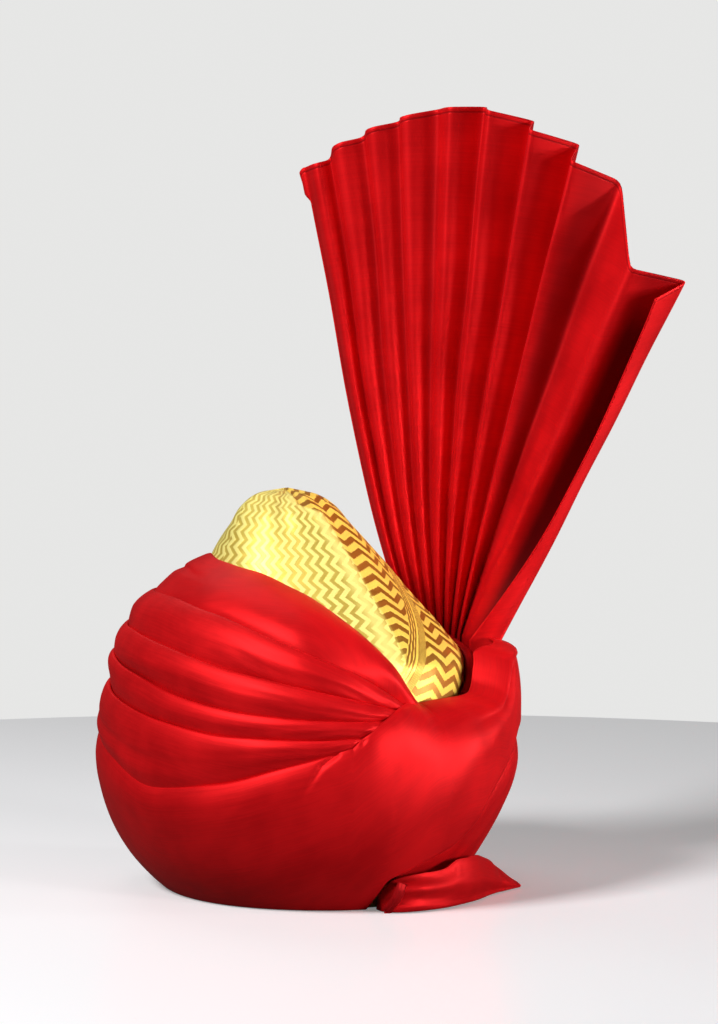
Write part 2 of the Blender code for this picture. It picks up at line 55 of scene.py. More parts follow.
# %% Sizes of the body and the cap
AXIS = np.array([-0.02933, 0.00043, 0.0])
HEIGHT_CAP = 0.256
HEIGHT_WIDEST = 0.106
RADIUS_BODY = 0.1345
RADIUS_RIM = 0.095
RADIUS_CAP = 0.099
LONG = 1.07
WIDE = 0.965
TUCK_POWER = 3.0
TILT = 0.014
TILT_TURN = 60.0
LEAN_CAP = 0.015
LEAN_FROM = 0.150
LEAN_TURN = 60.0
FACET_SHARE = 0.03
FACET_TURN = 8.0
CLEARANCE = 0.0011

# height share, radius share
CAP_ROWS = (
    (0.000, 0.889),
    (0.235, 0.950),
    (0.430, 1.000),
    (0.565, 0.990),
    (0.640, 0.874),
    (0.730, 0.697),
    (0.830, 0.545),
    (0.914, 0.379),
    (0.960, 0.273),
    (0.988, 0.172),
    (1.000, 0.000),
)
print("widest radius", RADIUS_BODY, "m, cap", RADIUS_CAP, "m")

# %% Smooth curves, soft steps and unevenness


def smooth_curve(rows_x, rows_y, x):
    """Value at x of a smooth curve through the rows: cubic pieces that never overshoot."""
    rows_x = np.asarray(rows_x, float)
    rows_y = np.asarray(rows_y, float)
    if rows_x[0] > rows_x[-1]:
        rows_x = rows_x[::-1]
        rows_y = rows_y[::-1]
    step = np.diff(rows_x)
    slope = np.diff(rows_y) / step
    tangent = np.zeros(len(rows_x))
    same = slope[1:] * slope[:-1] > 0
    mean = 2.0 * slope[1:] * slope[:-1] / np.where(same, slope[1:] + slope[:-1], 1.0)
    tangent[1:-1] = np.where(same, mean, 0.0)
    tangent[0] = slope[0]
    tangent[-1] = slope[-1]
    x = np.clip(np.asarray(x, float), rows_x[0], rows_x[-1])
    k = np.clip(np.searchsorted(rows_x, x, side="right") - 1, 0, len(step) - 1)
    t = (x - rows_x[k]) / step[k]
    near = (1 + 2 * t) * (1 - t) ** 2 * rows_y[k] + t * (1 - t) ** 2 * step[k] * tangent[k]
    far = t * t * (3 - 2 * t) * rows_y[k + 1] + t * t * (t - 1) * step[k] * tangent[k + 1]
    return near + far


def ease(low, high, x):
    """0 below low, 1 above high, and 3t^2 - 2t^3 between."""
    t = np.clip((np.asarray(x, float) - low) / (high - low), 0.0, 1.0)
    return t * t * (3 - 2 * t)


def ripple(a, b, seed, size, count=7):
    """Soft unevenness between about -1 and 1: sine waves in several directions, added up."""
    chance = np.random.default_rng(seed)
    total = 0.0
    for _ in range(count):
        turn, start = chance.uniform(0.0, 2 * math.pi, 2)
        wave = size * chance.uniform(0.6, 1.7)
        run = a * math.cos(turn) + b * math.sin(turn)
        total = total + np.sin(2 * math.pi * run / wave + start)
    return total / math.sqrt(count)


print("a soft step half way up:", float(ease(0.0, 1.0, 0.5)))

# %% Radius of the cap and of the wound body


def cap_outline(z):
    """Radius of the cap at a height, from the rows alone."""
    height, radius = np.array(CAP_ROWS).T
    return RADIUS_CAP * smooth_curve(height * HEIGHT_CAP, radius, z)


def cap_radius(turn, z):
    """Radius of the cap's outer face: the outline, times 1 + share x cos(4 turns) higher up."""
    facet = FACET_SHARE * np.cos(4 * np.radians(np.asarray(turn, float) - FACET_TURN))
    return cap_outline(z) * (1 + facet * ease(0.55 * HEIGHT_CAP, 0.80 * HEIGHT_CAP, z))


def body_radius(turn, z):
    """Radius of the wound body: a ball above its widest level, tucked in by a power curve below."""
    z = np.asarray(z, float)
    widest = HEIGHT_WIDEST + TILT * np.cos(np.radians(np.asarray(turn, float) - TILT_TURN))
    low = np.clip((widest - z) / widest, 0.0, 1.0)
    below = RADIUS_RIM + (RADIUS_BODY - RADIUS_RIM) * (1 - low ** TUCK_POWER)
    above = np.sqrt(np.maximum(RADIUS_BODY ** 2 - (z - widest) ** 2, 1e-8))
    return np.where(z < widest, below, above)


def place(turn, radius, z):
    """Point for a turn, a radius and a height on the long head oval, leaned with the cap."""
    angle = np.radians(np.asarray(turn, float))
    z = np.asarray(z, float)
    lean = LEAN_CAP * ease(LEAN_FROM, HEIGHT_CAP, z)
    toward = math.radians(LEAN_TURN)
    x = AXIS[0] + radius * WIDE * np.sin(angle) - lean * math.sin(toward)
    y = AXIS[1] - radius * LONG * np.cos(angle) + lean * math.cos(toward)
    return np.stack(np.broadcast_arrays(x, y, z), axis=-1)


def blend_radius(turn, z, reach, inside=CLEARANCE):
    """Radius at a reach between the cap (0) and the outside of the body (1)."""
    cap = cap_radius(turn, np.clip(z, 0.0, HEIGHT_CAP)) + inside
    return cap + reach * (np.maximum(body_radius(turn, z), cap) - cap)


print("front of the body at its widest:", place(0.0, RADIUS_BODY, HEIGHT_WIDEST).round(4).tolist())

# %% [markdown]
# Every cloth here is a grid of points, worked out as whole arrays, with its own flat pattern as a
# UV map in metres, so that weave and stitches keep their real size. One helper makes a mesh of such
# a grid: a face for each cell, turned away from the head's axis, and a Solidify modifier for the
# thickness of the cloth. Joining faces by hand or drawing curves would take far longer to change.

# %% From a grid of points to a cloth


def link_new(name, data, at=(0.0, 0.0, 0.0), aim=None):
    """Object for some data, put into the scene; a light or camera stands at a point and looks at one."""
    made = bpy.data.objects.new(name, data)
    made.location = at
    if aim is not None:
        made.rotation_euler = Vector(aim - at).to_track_quat("-Z", "Y").to_euler()
    bpy.context.scene.collection.objects.link(made)
    return made


def grid_faces(rows, columns, ring=False):
    """Faces of a grid of points and the grid of their numbers; a ring joins last column to first."""
    index = np.arange(rows * columns).reshape(rows, columns)
    if ring:
        index = np.concatenate([index, index[:, :1]], axis=1)
    faces = np.stack([index[:-1, :-1], index[1:, :-1], index[1:, 1:], index[:-1, 1:]], axis=-1)
    return faces.reshape(-1, 4), index


def cloth_lengths(points):
    """Flat pattern of a grid: distance run along its rows and down its columns, in metres."""
    along = np.linalg.norm(np.diff(points, axis=0), axis=-1)
    across = np.linalg.norm(np.diff(points, axis=1), axis=-1)
    middle = np.concatenate([[0.0], np.cumsum(along.mean(axis=1))])
    side = np.concatenate([np.zeros((len(points), 1)), np.cumsum(across, axis=1)], axis=1)
    return np.stack([np.broadcast_to(middle[:, None], side.shape), side], axis=-1)


def make_cloth(name, points, finish, wall=0.0, uv=None, marks=None, ring=False, ends=False):
    """Piece from a grid of points (rows, columns): cells become faces, and ends closes both end
    rings with a fan of faces to their middle."""
    rows, columns = points.shape[:2]
    faces, index = grid_faces(rows, columns, ring)
    corners = points.reshape(-1, 3)
    one_way = corners[faces[:, 2]] - corners[faces[:, 0]]
    other_way = corners[faces[:, 3]] - corners[faces[:, 1]]
    normal = np.cross(one_way, other_way)
    middle = corners[faces].mean(axis=1)
    outward = middle - (middle.mean(axis=0) if ring else AXIS)
    outward = outward * np.array([1.0, 1.0, 1.0 if ring else 0.0])
    flip = (normal * outward).sum() < 0
    faces = faces[:, ::-1] if flip else faces
    if uv is None:
        uv = cloth_lengths(points)
    if uv.ndim == 3:
        corner_uv = uv.reshape(-1, 2)[faces]
    else:
        corner_uv = uv.reshape(-1, 4, 2)[:, ::-1] if flip else uv.reshape(-1, 4, 2)
    polygons = faces.tolist()
    if ends:
        first = corners[index[0, :-1]].mean(axis=0)
        last = corners[index[-1, :-1]].mean(axis=0)
        corners = np.vstack([corners, first, last])
        poles = ((index[0], len(corners) - 2, flip), (index[-1], len(corners) - 1, not flip))
        for ring_row, pole, turned in poles:
            pairs = np.stack([ring_row[:-1], ring_row[1:], np.full(columns, pole)], axis=-1)
            polygons += (pairs[:, ::-1] if turned else pairs).tolist()
    mesh = bpy.data.meshes.new(name)
    mesh.from_pydata(corners.tolist(), [], polygons)
    layer = mesh.uv_layers.new(name="UVMap")
    flat = np.zeros((len(mesh.loops), 2))
    flat[: corner_uv.size // 2] = corner_uv.reshape(-1, 2)
    layer.data.foreach_set("uv", flat.ravel())
    for key, values in (marks or {}).items():
        mark = mesh.attributes.new(key, "FLOAT", "POINT")
        full = np.zeros(len(corners))
        full[: values.size] = values.ravel()
        mark.data.foreach_set("value", full)
    mesh.polygons.foreach_set("use_smooth", np.ones(len(mesh.polygons), bool))
    mesh.materials.append(finish)
    mesh.update()
    piece = link_new(name, mesh)
    if wall:
        thick = piece.modifiers.new("cloth thickness", "SOLIDIFY")
        thick.thickness = wall
        thick.offset = 0.0
    cells = 0.5 * np.linalg.norm(normal, axis=1)
    print(name, len(polygons), "faces", round(float(cells.sum()), 4), "m2")
    return piece


# %% [markdown]
# Satin and brocade are built from nodes. Satin shows a warm deep red whose tone drifts a little, a
# very fine twill, faint slubs along the weft and a soft broad sheen. Its threads are dyed, so even
# the reflection is reddish: that is the specular tint. The pattern runs on the cloth's own UV map.
# The fan's satin is painted with lighter reds than the wound satin, as painted light. It also has
# hem stitches, by the piece's own "hem" attribute, and painted shade in the depth of a pleat, where
# so little light gets in, by a mark of painted pleat shade.

# %% Small helpers for node trees


def fill(tree, made, sockets):
    """Sockets of a node: the output of another node is linked, a plain value is set on the socket."""
    for key, value in sockets.items():
        socket = made.inputs[int(key[1:]) if key[1:].isdigit() else key.replace("_", " ")]
        if isinstance(value, bpy.types.NodeSocket):
            tree.links.new(value, socket)
        else:
            socket.default_value = value


def node(tree, kind, settings=None, **sockets):
    """Add one node with its settings and its sockets."""
    made = tree.nodes.new("ShaderNode" + kind)
    for key, value in (settings or {}).items():
        setattr(made, key, value)
    fill(tree, made, sockets)
    return made


def sum_of(tree, operation, *values, clamp=False):
    """Output of one math node."""
    sockets = {"i%d" % k: value for k, value in enumerate(values)}
    return node(tree, "Math", {"operation": operation, "use_clamp": clamp}, **sockets).outputs[0]


def sine_of(tree, value, period):
    """Sine of a distance, with a period in metres."""
    return sum_of(tree, "SINE", sum_of(tree, "MULTIPLY", value, 2 * math.pi / period))


def rest_of(tree, value):
    """One minus a value."""
    return sum_of(tree, "SUBTRACT", 1.0, value)


def mark_of(tree, name):
    """Value of one of the piece's own point attributes."""
    return node(tree, "Attribute", {"attribute_name": name}).outputs["Fac"]


def blend_colour(tree, share, low, high):
    """Colour between two colours by a share from 0 to 1; a plain colour is three numbers."""
    low, high = ((*colour, 1.0) if isinstance(colour, tuple) else colour for colour in (low, high))
    return node(tree, "Mix", {"data_type": "RGBA"}, i0=share, i6=low, i7=high).outputs[2]


def blend_value(tree, share, low, high):
    """Value between two values by a share from 0 to 1."""
    return node(tree, "MapRange", {"clamp": True}, Value=share, To_Min=low, To_Max=high).outputs[0]


def soft_step(tree, value, low, high):
    """0 below low, 1 above high, smooth between."""
    smooth = {"interpolation_type": "SMOOTHSTEP"}
    return node(tree, "MapRange", smooth, Value=value, From_Min=low, From_Max=high).outputs[0]


def new_finish(name):
    """Material with an empty tree but its shader."""
    finish = bpy.data.materials.new(name)
    finish.use_nodes = True
    return finish, finish.node_tree, finish.node_tree.nodes["Principled BSDF"]


print("node helpers ready")

# %% The red satin
TWILL = 0.00042
STITCH = 0.0026
HEM_DEPTH = 0.0034


def make_satin(name, bright, deep, stitched_with_pleat_shade=False):
    """Dyed satin: colour drifts between two reds, twill and slubs give the bump. The kind with a hem also
    gets hem stitches and painted shade in the depth of its pleats.
    """
    finish, tree, shader = new_finish(name)
    place_uv = node(tree, "UVMap", {"uv_map": "UVMap"}).outputs[0]
    drift = node(tree, "TexNoise", Vector=place_uv, Scale=28.0, Detail=3.0, Roughness=0.55).outputs[0]
    stretched = node(tree, "Mapping", Vector=place_uv, Scale=(30.0, 900.0, 1.0)).outputs[0]
    slub = node(tree, "TexNoise", Vector=stretched, Scale=1.0, Detail=2.0).outputs[0]
    tone = sum_of(tree, "MULTIPLY_ADD", slub, 0.3, sum_of(tree, "MULTIPLY", drift, 0.75))
    colour = blend_colour(tree, soft_step(tree, tone, 0.30, 0.75), deep, bright)
    u, v = node(tree, "SeparateXYZ", Vector=place_uv).outputs[:2]
    twill = sine_of(tree, sum_of(tree, "MULTIPLY_ADD", u, 0.5, v), TWILL)
    height = sum_of(tree, "MULTIPLY_ADD", twill, 0.10, sum_of(tree, "MULTIPLY", slub, 0.7))
    if stitched_with_pleat_shade:
        away = sum_of(tree, "ABSOLUTE", sum_of(tree, "SUBTRACT", mark_of(tree, "hem"), HEM_DEPTH))
        line = rest_of(tree, soft_step(tree, away, 0.0002, 0.0009))
        stitch = sum_of(tree, "MULTIPLY_ADD", sine_of(tree, u, STITCH), 0.6, -2.2)
        height = sum_of(tree, "MULTIPLY_ADD", line, stitch, height)
        colour = blend_colour(tree, sum_of(tree, "MULTIPLY", line, 0.6), colour, (0.22, 0.004, 0.006))
        # Painted shade: near black-red in the depth of the fan's pleats, by the piece's mark of pleat shade.
        colour = blend_colour(tree, mark_of(tree, "painted_pleat_shade"), colour, (0.070, 0.0015, 0.003))
    bump = node(tree, "Bump", Strength=0.30, Distance=0.00022, Height=height).outputs[0]
    fill(tree, shader, {
        "Base Color": colour,
        "Roughness": blend_value(tree, drift, 0.43, 0.53),
        "Normal": bump,
        "Metallic": 0.34,
        "Specular IOR Level": 0.35,
        "Specular Tint": (1.0, 0.22, 0.20, 1.0),
        "Sheen Weight": 0.03,
        "Sheen Roughness": 0.35,
        "Sheen Tint": (1.0, 0.12, 0.10, 1.0),
    })
    return finish


satin = make_satin("satin_wound", (0.70, 0.0065, 0.0095), (0.50, 0.0035, 0.0060))
# Painted light: the fan's copy of the satin has lighter reds than the wound satin.
satin_fan = make_satin("satin_fan", (0.79, 0.0070, 0.0100), (0.61, 0.0040, 0.0065), stitched_with_pleat_shade=True)
# Painted shade: a darker copy of the same satin, for the inner strip that lies in shadow; the strap is made
# of it too.
satin_shaded = make_satin("satin_inner", (0.46, 0.0050, 0.0080), (0.32, 0.0030, 0.0050))
print("satins:", satin.name, satin_fan.name, satin_shaded.name)

# %% [markdown]
# The brocade is a traditional zigzag of gold thread, in stripes that run down each face of the cap.
# The stripe is a sine of the distance across, pushed to and fro by a triangle wave down the face.
# The two gores at the wearer's right, on the lit side, are painted with a pale ground and thread,
# and the two at the wearer's left, on the shaded side, with a brown ground and deep gold: painted
# light and shade, picked by the piece's "tone" attribute. "rubbed" leaves the ridge plain. A woven
# border crosses one face: rows of dots, a plain line and hatching, placed by the "border" attribute.
# An image would give the same look, but the pattern could then not be changed or cut to another cap.

# %% The gold brocade
STRIPE = 0.0068
ZIGZAG = 0.0114
ZIGZAG_SLOPE = 0.85
BORDER = 0.017
BORDER_LINE = 0.0088
BORDER_HATCH = 0.0103
DOT = 0.0019
DOT_ROW = 0.0026
HATCH = 0.0021
RIB = 0.00065


def border_weave(tree, v, border):
    """Rows of dots, then a plain line, then slanted hatching, by the distance into the border."""
    dots = sum_of(tree, "MULTIPLY_ADD", sine_of(tree, v, DOT), 0.55, sine_of(tree, border, DOT_ROW))
    slant = sum_of(tree, "MULTIPLY_ADD", border, 1.4, v)
    hatch = soft_step(tree, sine_of(tree, slant, HATCH), -0.4, 0.4)
    outer_part = soft_step(tree, border, BORDER_HATCH, BORDER_HATCH + 0.0005)
    woven = blend_value(tree, outer_part, soft_step(tree, dots, 0.1, 0.6), hatch)
    from_line = sum_of(tree, "ABSOLUTE", sum_of(tree, "SUBTRACT", border, BORDER_LINE))
    return sum_of(tree, "MAXIMUM", woven, rest_of(tree, soft_step(tree, from_line, 0.0009, 0.0013)))


def make_brocade(name):
    """Zigzag = sin(2 pi (u + slope x triangle(v)) / stripe), its edges softened, plus the border."""
    finish, tree, shader = new_finish(name)
    place_uv = node(tree, "UVMap", {"uv_map": "UVMap"}).outputs[0]
    u, v = node(tree, "SeparateXYZ", Vector=place_uv).outputs[:2]
    thread = node(tree, "TexNoise", Vector=place_uv, Scale=1500.0, Detail=1.0).outputs[0]
    drift = node(tree, "TexNoise", Vector=place_uv, Scale=60.0, Detail=3.0).outputs[0]
    swing = sum_of(tree, "PINGPONG", v, ZIGZAG / 2)
    wave = sine_of(tree, sum_of(tree, "MULTIPLY_ADD", swing, ZIGZAG_SLOPE, u), STRIPE)
    frayed = sum_of(tree, "MULTIPLY_ADD", sum_of(tree, "SUBTRACT", thread, 0.5), 1.1, wave)
    field = sum_of(tree, "MAXIMUM", soft_step(tree, frayed, -0.35, 0.25), mark_of(tree, "rubbed"))
    border = mark_of(tree, "border")
    enter = soft_step(tree, border, 0.0, 0.0003)
    leave = soft_step(tree, border, BORDER, BORDER + 0.0003)
    inside = sum_of(tree, "MULTIPLY", enter, rest_of(tree, leave))
    gold = blend_value(tree, inside, field, border_weave(tree, v, border))
    # Painted light and shade: the pale ground and thread stand for the lit gores, the brown ground and deep
    # gold for the shaded ones; tone 1 picks the shaded colours.
    tone = mark_of(tree, "tone")
    ground_painted_lit = blend_colour(tree, drift, (0.68, 0.47, 0.070), (0.82, 0.63, 0.13))
    ground_painted_shaded = blend_colour(tree, drift, (0.30, 0.105, 0.012), (0.42, 0.17, 0.025))
    thread_painted_lit = blend_colour(tree, thread, (0.93, 0.79, 0.17), (0.97, 0.88, 0.33))
    thread_painted_shaded = blend_colour(tree, thread, (0.84, 0.52, 0.06), (0.98, 0.72, 0.13))
    ground = blend_colour(tree, tone, ground_painted_lit, ground_painted_shaded)
    metal_thread = blend_colour(tree, tone, thread_painted_lit, thread_painted_shaded)
    ribs = sum_of(tree, "MULTIPLY", sine_of(tree, v, RIB), 0.12)
    height = sum_of(tree, "ADD", sum_of(tree, "MULTIPLY_ADD", thread, 0.35, ribs), gold)
    bump = node(tree, "Bump", Strength=0.55, Distance=0.00035, Height=height).outputs[0]
    fill(tree, shader, {
        "Base Color": blend_colour(tree, gold, ground, metal_thread),
        "Roughness": blend_value(tree, thread, 0.30, 0.46),
        "Normal": bump,
        "Metallic": blend_value(tree, gold, 0.50, 0.22),
        "Specular IOR Level": 0.8,
        "Specular Tint": (1.0, 0.88, 0.35, 1.0),
    })
    return finish


brocade = make_brocade("brocade_zigzag")
print("brocade stripe", STRIPE, "m, zigzag", ZIGZAG, "m")

# %% [markdown]
# The cap is one shell of brocade. It follows the same outline rows as the solid, with four soft
# faces and a ridge between two of them. The cloth is gathered at the top, so it crumples there:
# sine waves of a few millimetres, which fade out below. Each of the four faces has its own flat
# pattern, as sewn gores have, and two are laid on the bias, so the zigzag breaks at the ridge.

# %% The brocade cap
# height on the border's left edge, turn there
BORDER_ROWS = (
    (0.1000, -20.0),
    (0.1250, -9.0),
    (0.1407, 0.0),
    (0.1579, 8.6),
    (0.1748, 21.0),
    (0.1883, 35.0),
    (0.2000, 49.0),
    (0.2150, 74.0),
    (0.2350, 116.0),
    (0.2500, 170.0),
)
CROWN_FROM = 0.212
RIDGE_TURN = 3.0
RIDGE_HEIGHT = 0.0022
CRUMPLES = 11
CRUMPLE_SHARE = 0.018
BIAS = math.radians(20.0)
CAP_WALL = 0.0022


def cap_points(turns, heights):
    """Cap surface: radius from the rows plus crumples near the top that grow with height."""
    turn, z = np.meshgrid(turns, heights, indexing="ij")
    crown = ease(CROWN_FROM, HEIGHT_CAP, z)
    radius = cap_radius(turn, z)
    from_ridge = (turn - RIDGE_TURN + 180.0) % 360.0 - 180.0
    ridge = np.exp(-((from_ridge / 9.0) ** 2)) * ease(0.14, 0.19, z)
    radius = radius + RIDGE_HEIGHT * ridge * (1 - ease(0.235, 0.256, z))
    angle = np.radians(turn)
    low = ripple(radius * np.sin(angle), radius * np.cos(angle) + z, 5, 0.045)
    radius = radius + 0.0007 * low * ease(0.11, 0.16, z)
    crumple = np.sin(CRUMPLES * angle + 1.2 * np.sin(2 * angle) + 60 * (z - 0.23))
    radius = radius * (1 + CRUMPLE_SHARE * crown * crumple * (1 - ease(0.250, 0.256, z)))
    lift = 0.0008 * crown * np.sin(3 * angle) + 0.0004 * crown * crumple
    lift = lift - 0.0034 * ease(0.236, HEIGHT_CAP, z)
    return place(turn, radius, np.minimum(z + lift, HEIGHT_CAP)), turn, z


def gore_seam(z):
    """Turn of the seam on the front ridge: near the top the left gore's neighbour laps over it."""
    return FACET_TURN - 3.0 - 24.0 * ease(0.238, 0.250, z)


def cap_pattern(turns, heights):
    """Flat pattern for each corner of each cell. Two gores hang straight: across is the turn times
    a mean of the true and a fixed radius. The other two are turned by the bias."""
    outline = cap_outline(heights)
    run = np.concatenate([[0.0], np.cumsum(np.hypot(np.diff(outline), np.diff(heights)))])
    middle_turn = (turns[:-1] + turns[1:]) / 2
    seam = gore_seam((heights[:-1] + heights[1:]) / 2)
    gore = np.floor((middle_turn[:, None] - seam[None, :]) / 90.0)
    middle = gore * 90.0 + FACET_TURN + 45.0
    corner_turn = np.stack([turns[:-1], turns[1:], turns[1:], turns[:-1]], axis=-1)
    r_corner = np.stack([outline[:-1], outline[:-1], outline[1:], outline[1:]], axis=-1)
    run_corner = np.stack([run[:-1], run[:-1], run[1:], run[1:]], axis=-1)
    angle = np.radians(corner_turn[:, None, :] - middle[:, :, None])
    across = 0.55 * r_corner[None, :, :] * np.sin(angle) + 0.030 * angle + 0.04 * gore[:, :, None]
    fall = np.broadcast_to(run_corner[None, :, :], across.shape)
    along = 0.62 * (across * math.cos(BIAS) - fall * math.sin(BIAS))
    stacked = 0.72 * (across * math.sin(BIAS) + fall * math.cos(BIAS))
    turned = (gore >= 0)[:, :, None]
    return np.stack([np.where(turned, stacked, across), np.where(turned, along, fall)], axis=-1)


# %% Marks on the cap, and its mesh
cap_turns = np.linspace(-180.0 + FACET_TURN, 180.0 + FACET_TURN, 241)
share = np.linspace(0.0, 1.0, 121)
cap_heights = HEIGHT_CAP * (1 - (1 - share) ** 1.6)
cap_heights[-1] = HEIGHT_CAP * 0.9995
cap_grid, cap_turn, cap_z = cap_points(cap_turns, cap_heights)
border_turn = smooth_curve(*np.array(BORDER_ROWS).T, cap_z)
from_border = (cap_turn - border_turn + 180.0) % 360.0 - 180.0
from_seam = cap_turn - gore_seam(cap_z)
cap_marks = {
    "border": np.radians(from_border) * cap_radius(cap_turn, cap_z) * 0.86,
    # tone: painted light and shade, 0 (pale) on the lit gores at the wearer's right, 1 (brown) on the shaded
    # gores at the wearer's left
    "tone": ease(-1.0, 2.0, from_seam) * (1 - ease(178.0, 181.0, from_seam)),
    "rubbed": 0.8 * np.exp(-(((from_seam + 5.0) / 4.0) ** 2)) * ease(0.13, 0.16, cap_z),
}
cap_uv = cap_pattern(cap_turns, cap_heights)
cap_cover = make_cloth("brocade_cap", cap_grid, brocade, CAP_WALL, uv=cap_uv, marks=cap_marks)
weld = cap_cover.modifiers.new("join the seam", "WELD")
weld.merge_threshold = 0.00002
cap_cover.modifiers.move(1, 0)

# %% [markdown]
# The five side pleats are one satin cloth laid in folds, each lying over the foot of the one above.
# Seen in section a pleat is a hook: the inner leaf goes up, turns over in a tight roll, swells out
# and sinks in again to where the next roll covers it. That section, carried along the crease lines
# of the part's source, gives the folds. Cloth simulation could drape them, but the pleats are
# pulled tight and placed by hand on the real thing, so a section gives the lines more exactly.

# %% Crease lines of the side folds
BACK_TURN = -240.0
SPLIT_TURN = -30.0
STATIONS = (0.0, 0.1, 0.2, 0.32, 0.44, 0.54, 0.64, 0.74, 0.84, 0.92, 1.0)
# name, turn of the front end, reach there, height shares at the stations
CREASES = (
    ("top", 7.0, 0.12, (0.715, 0.754, 0.781, 0.809, 0.822, 0.824, 0.818, 0.799, 0.752, 0.668, 0.494)),
    ("second", -1.0, 0.45, (0.625, 0.672, 0.699, 0.719, 0.730, 0.732, 0.731, 0.707, 0.645, 0.578, 0.490)),
    ("third", -5.5, 0.70, (0.574, 0.605, 0.629, 0.646, 0.652, 0.650, 0.637, 0.602, 0.562, 0.525, 0.486)),
    ("fourth", -10.5, 0.90, (0.523, 0.547, 0.566, 0.580, 0.582, 0.578, 0.555, 0.514, 0.479, 0.470, 0.467)),
    ("fifth", -16.6, 1.00, (0.473, 0.488, 0.500, 0.510, 0.512, 0.504, 0.479, 0.447, 0.425, 0.426, 0.431)),
    ("edge", -21.0, 1.00, (0.410, 0.414, 0.414, 0.414, 0.406, 0.387, 0.344, 0.289, 0.311, 0.356, 0.401)),
)

# path share, share across, up and out in millimetres
FOLD_SECTION = (
    (0.00, 0.22, 0.0, -0.4),
    (0.05, 0.10, 0.0, -0.3),
    (0.09, 0.02, 0.0, -0.1),
    (0.12, 0.00, 0.6, 0.5),
    (0.15, 0.00, 0.9, 1.3),
    (0.18, 0.00, 0.7, 2.1),
    (0.22, 0.025, 0.2, 2.8),
    (0.28, 0.07, 0.0, 3.3),
    (0.36, 0.15, 0.0, 3.8),
    (0.46, 0.27, 0.0, 4.1),
    (0.56, 0.40, 0.0, 4.0),
    (0.66, 0.54, 0.0, 3.3),
    (0.76, 0.69, 0.0, 2.2),
    (0.86, 0.84, 0.0, 0.9),
    (0.94, 0.96, 0.0, -0.6),
    (1.00, 1.06, 0.0, -1.8),
)
FOLD_WALL = 0.0008
SWELL = 0.0052
print(len(CREASES), "crease lines,", len(FOLD_SECTION), "stations in the section")

# %% Sections and creases


def section(rows, path):
    """Every column after the first, as a smooth curve of the first, at places on the path."""
    rows = np.array(rows)
    return [smooth_curve(rows[:, 0], rows[:, k], path) for k in range(1, rows.shape[1])]


def crease(row, turns):
    """Turn, height and reach of one crease; past the front it goes on down below the wrap."""
    name, end_turn, end_reach, heights = row
    row_turns = BACK_TURN + (end_turn - BACK_TURN) * np.array(STATIONS)
    past = np.maximum(turns, 0.0)
    turns = np.minimum(turns, 0.0)
    front = (turns - SPLIT_TURN) / (0.0 - SPLIT_TURN)
    own = np.where(turns <= SPLIT_TURN, turns, SPLIT_TURN + (end_turn - SPLIT_TURN) * front)
    z = HEIGHT_CAP * smooth_curve(row_turns, heights, own)
    if name == "top":
        reach = np.full(len(own), end_reach)
    else:
        reach = 1 + (end_reach - 1) * ease(SPLIT_TURN - 6.0, end_turn, own)
    return own + past * 0.9, z - 0.0009 * past, reach


def stops(*parts):
    """Row of values through (from, to, count) parts that share their ends."""
    runs = [np.linspace(low, high, count)[:-1] for low, high, count in parts]
    return np.concatenate(runs + [[parts[-1][1]]])


def crease_line(turn, z, points, depth, width):
    """Dent along a line of (turn, height) points: depth x exp(-(distance / width)^2), fading out."""
    points = np.array(points)
    across = np.radians(points[:, 0]) * 0.13
    u = np.radians(turn) * 0.13
    total = np.zeros(np.broadcast(turn, z).shape)
    count = len(points) - 1
    for k in range(count):
        step = np.array([across[k + 1] - across[k], points[k + 1, 1] - points[k, 1]])
        t = ((u - across[k]) * step[0] + (z - points[k, 1]) * step[1]) / (step @ step)
        t = np.clip(t, 0.0, 1.0)
        off = np.hypot(u - across[k] - t * step[0], z - points[k, 1] - t * step[1])
        fade = 1 - (k + t) / count
        total = np.maximum(total, np.exp(-((off / width) ** 2)) * fade ** 0.7)
    return -depth * total


fold_path = stops((0.0, 0.08, 4), (0.08, 0.30, 20), (0.30, 1.0, 36))
fold_turns = stops((-244.5, -236.0, 14), (-236.0, -30.0, 210), (-30.0, 0.0, 60), (0.0, 9.0, 14))
print(len(fold_turns), "by", len(fold_path), "points in a fold")

# %% The five folds


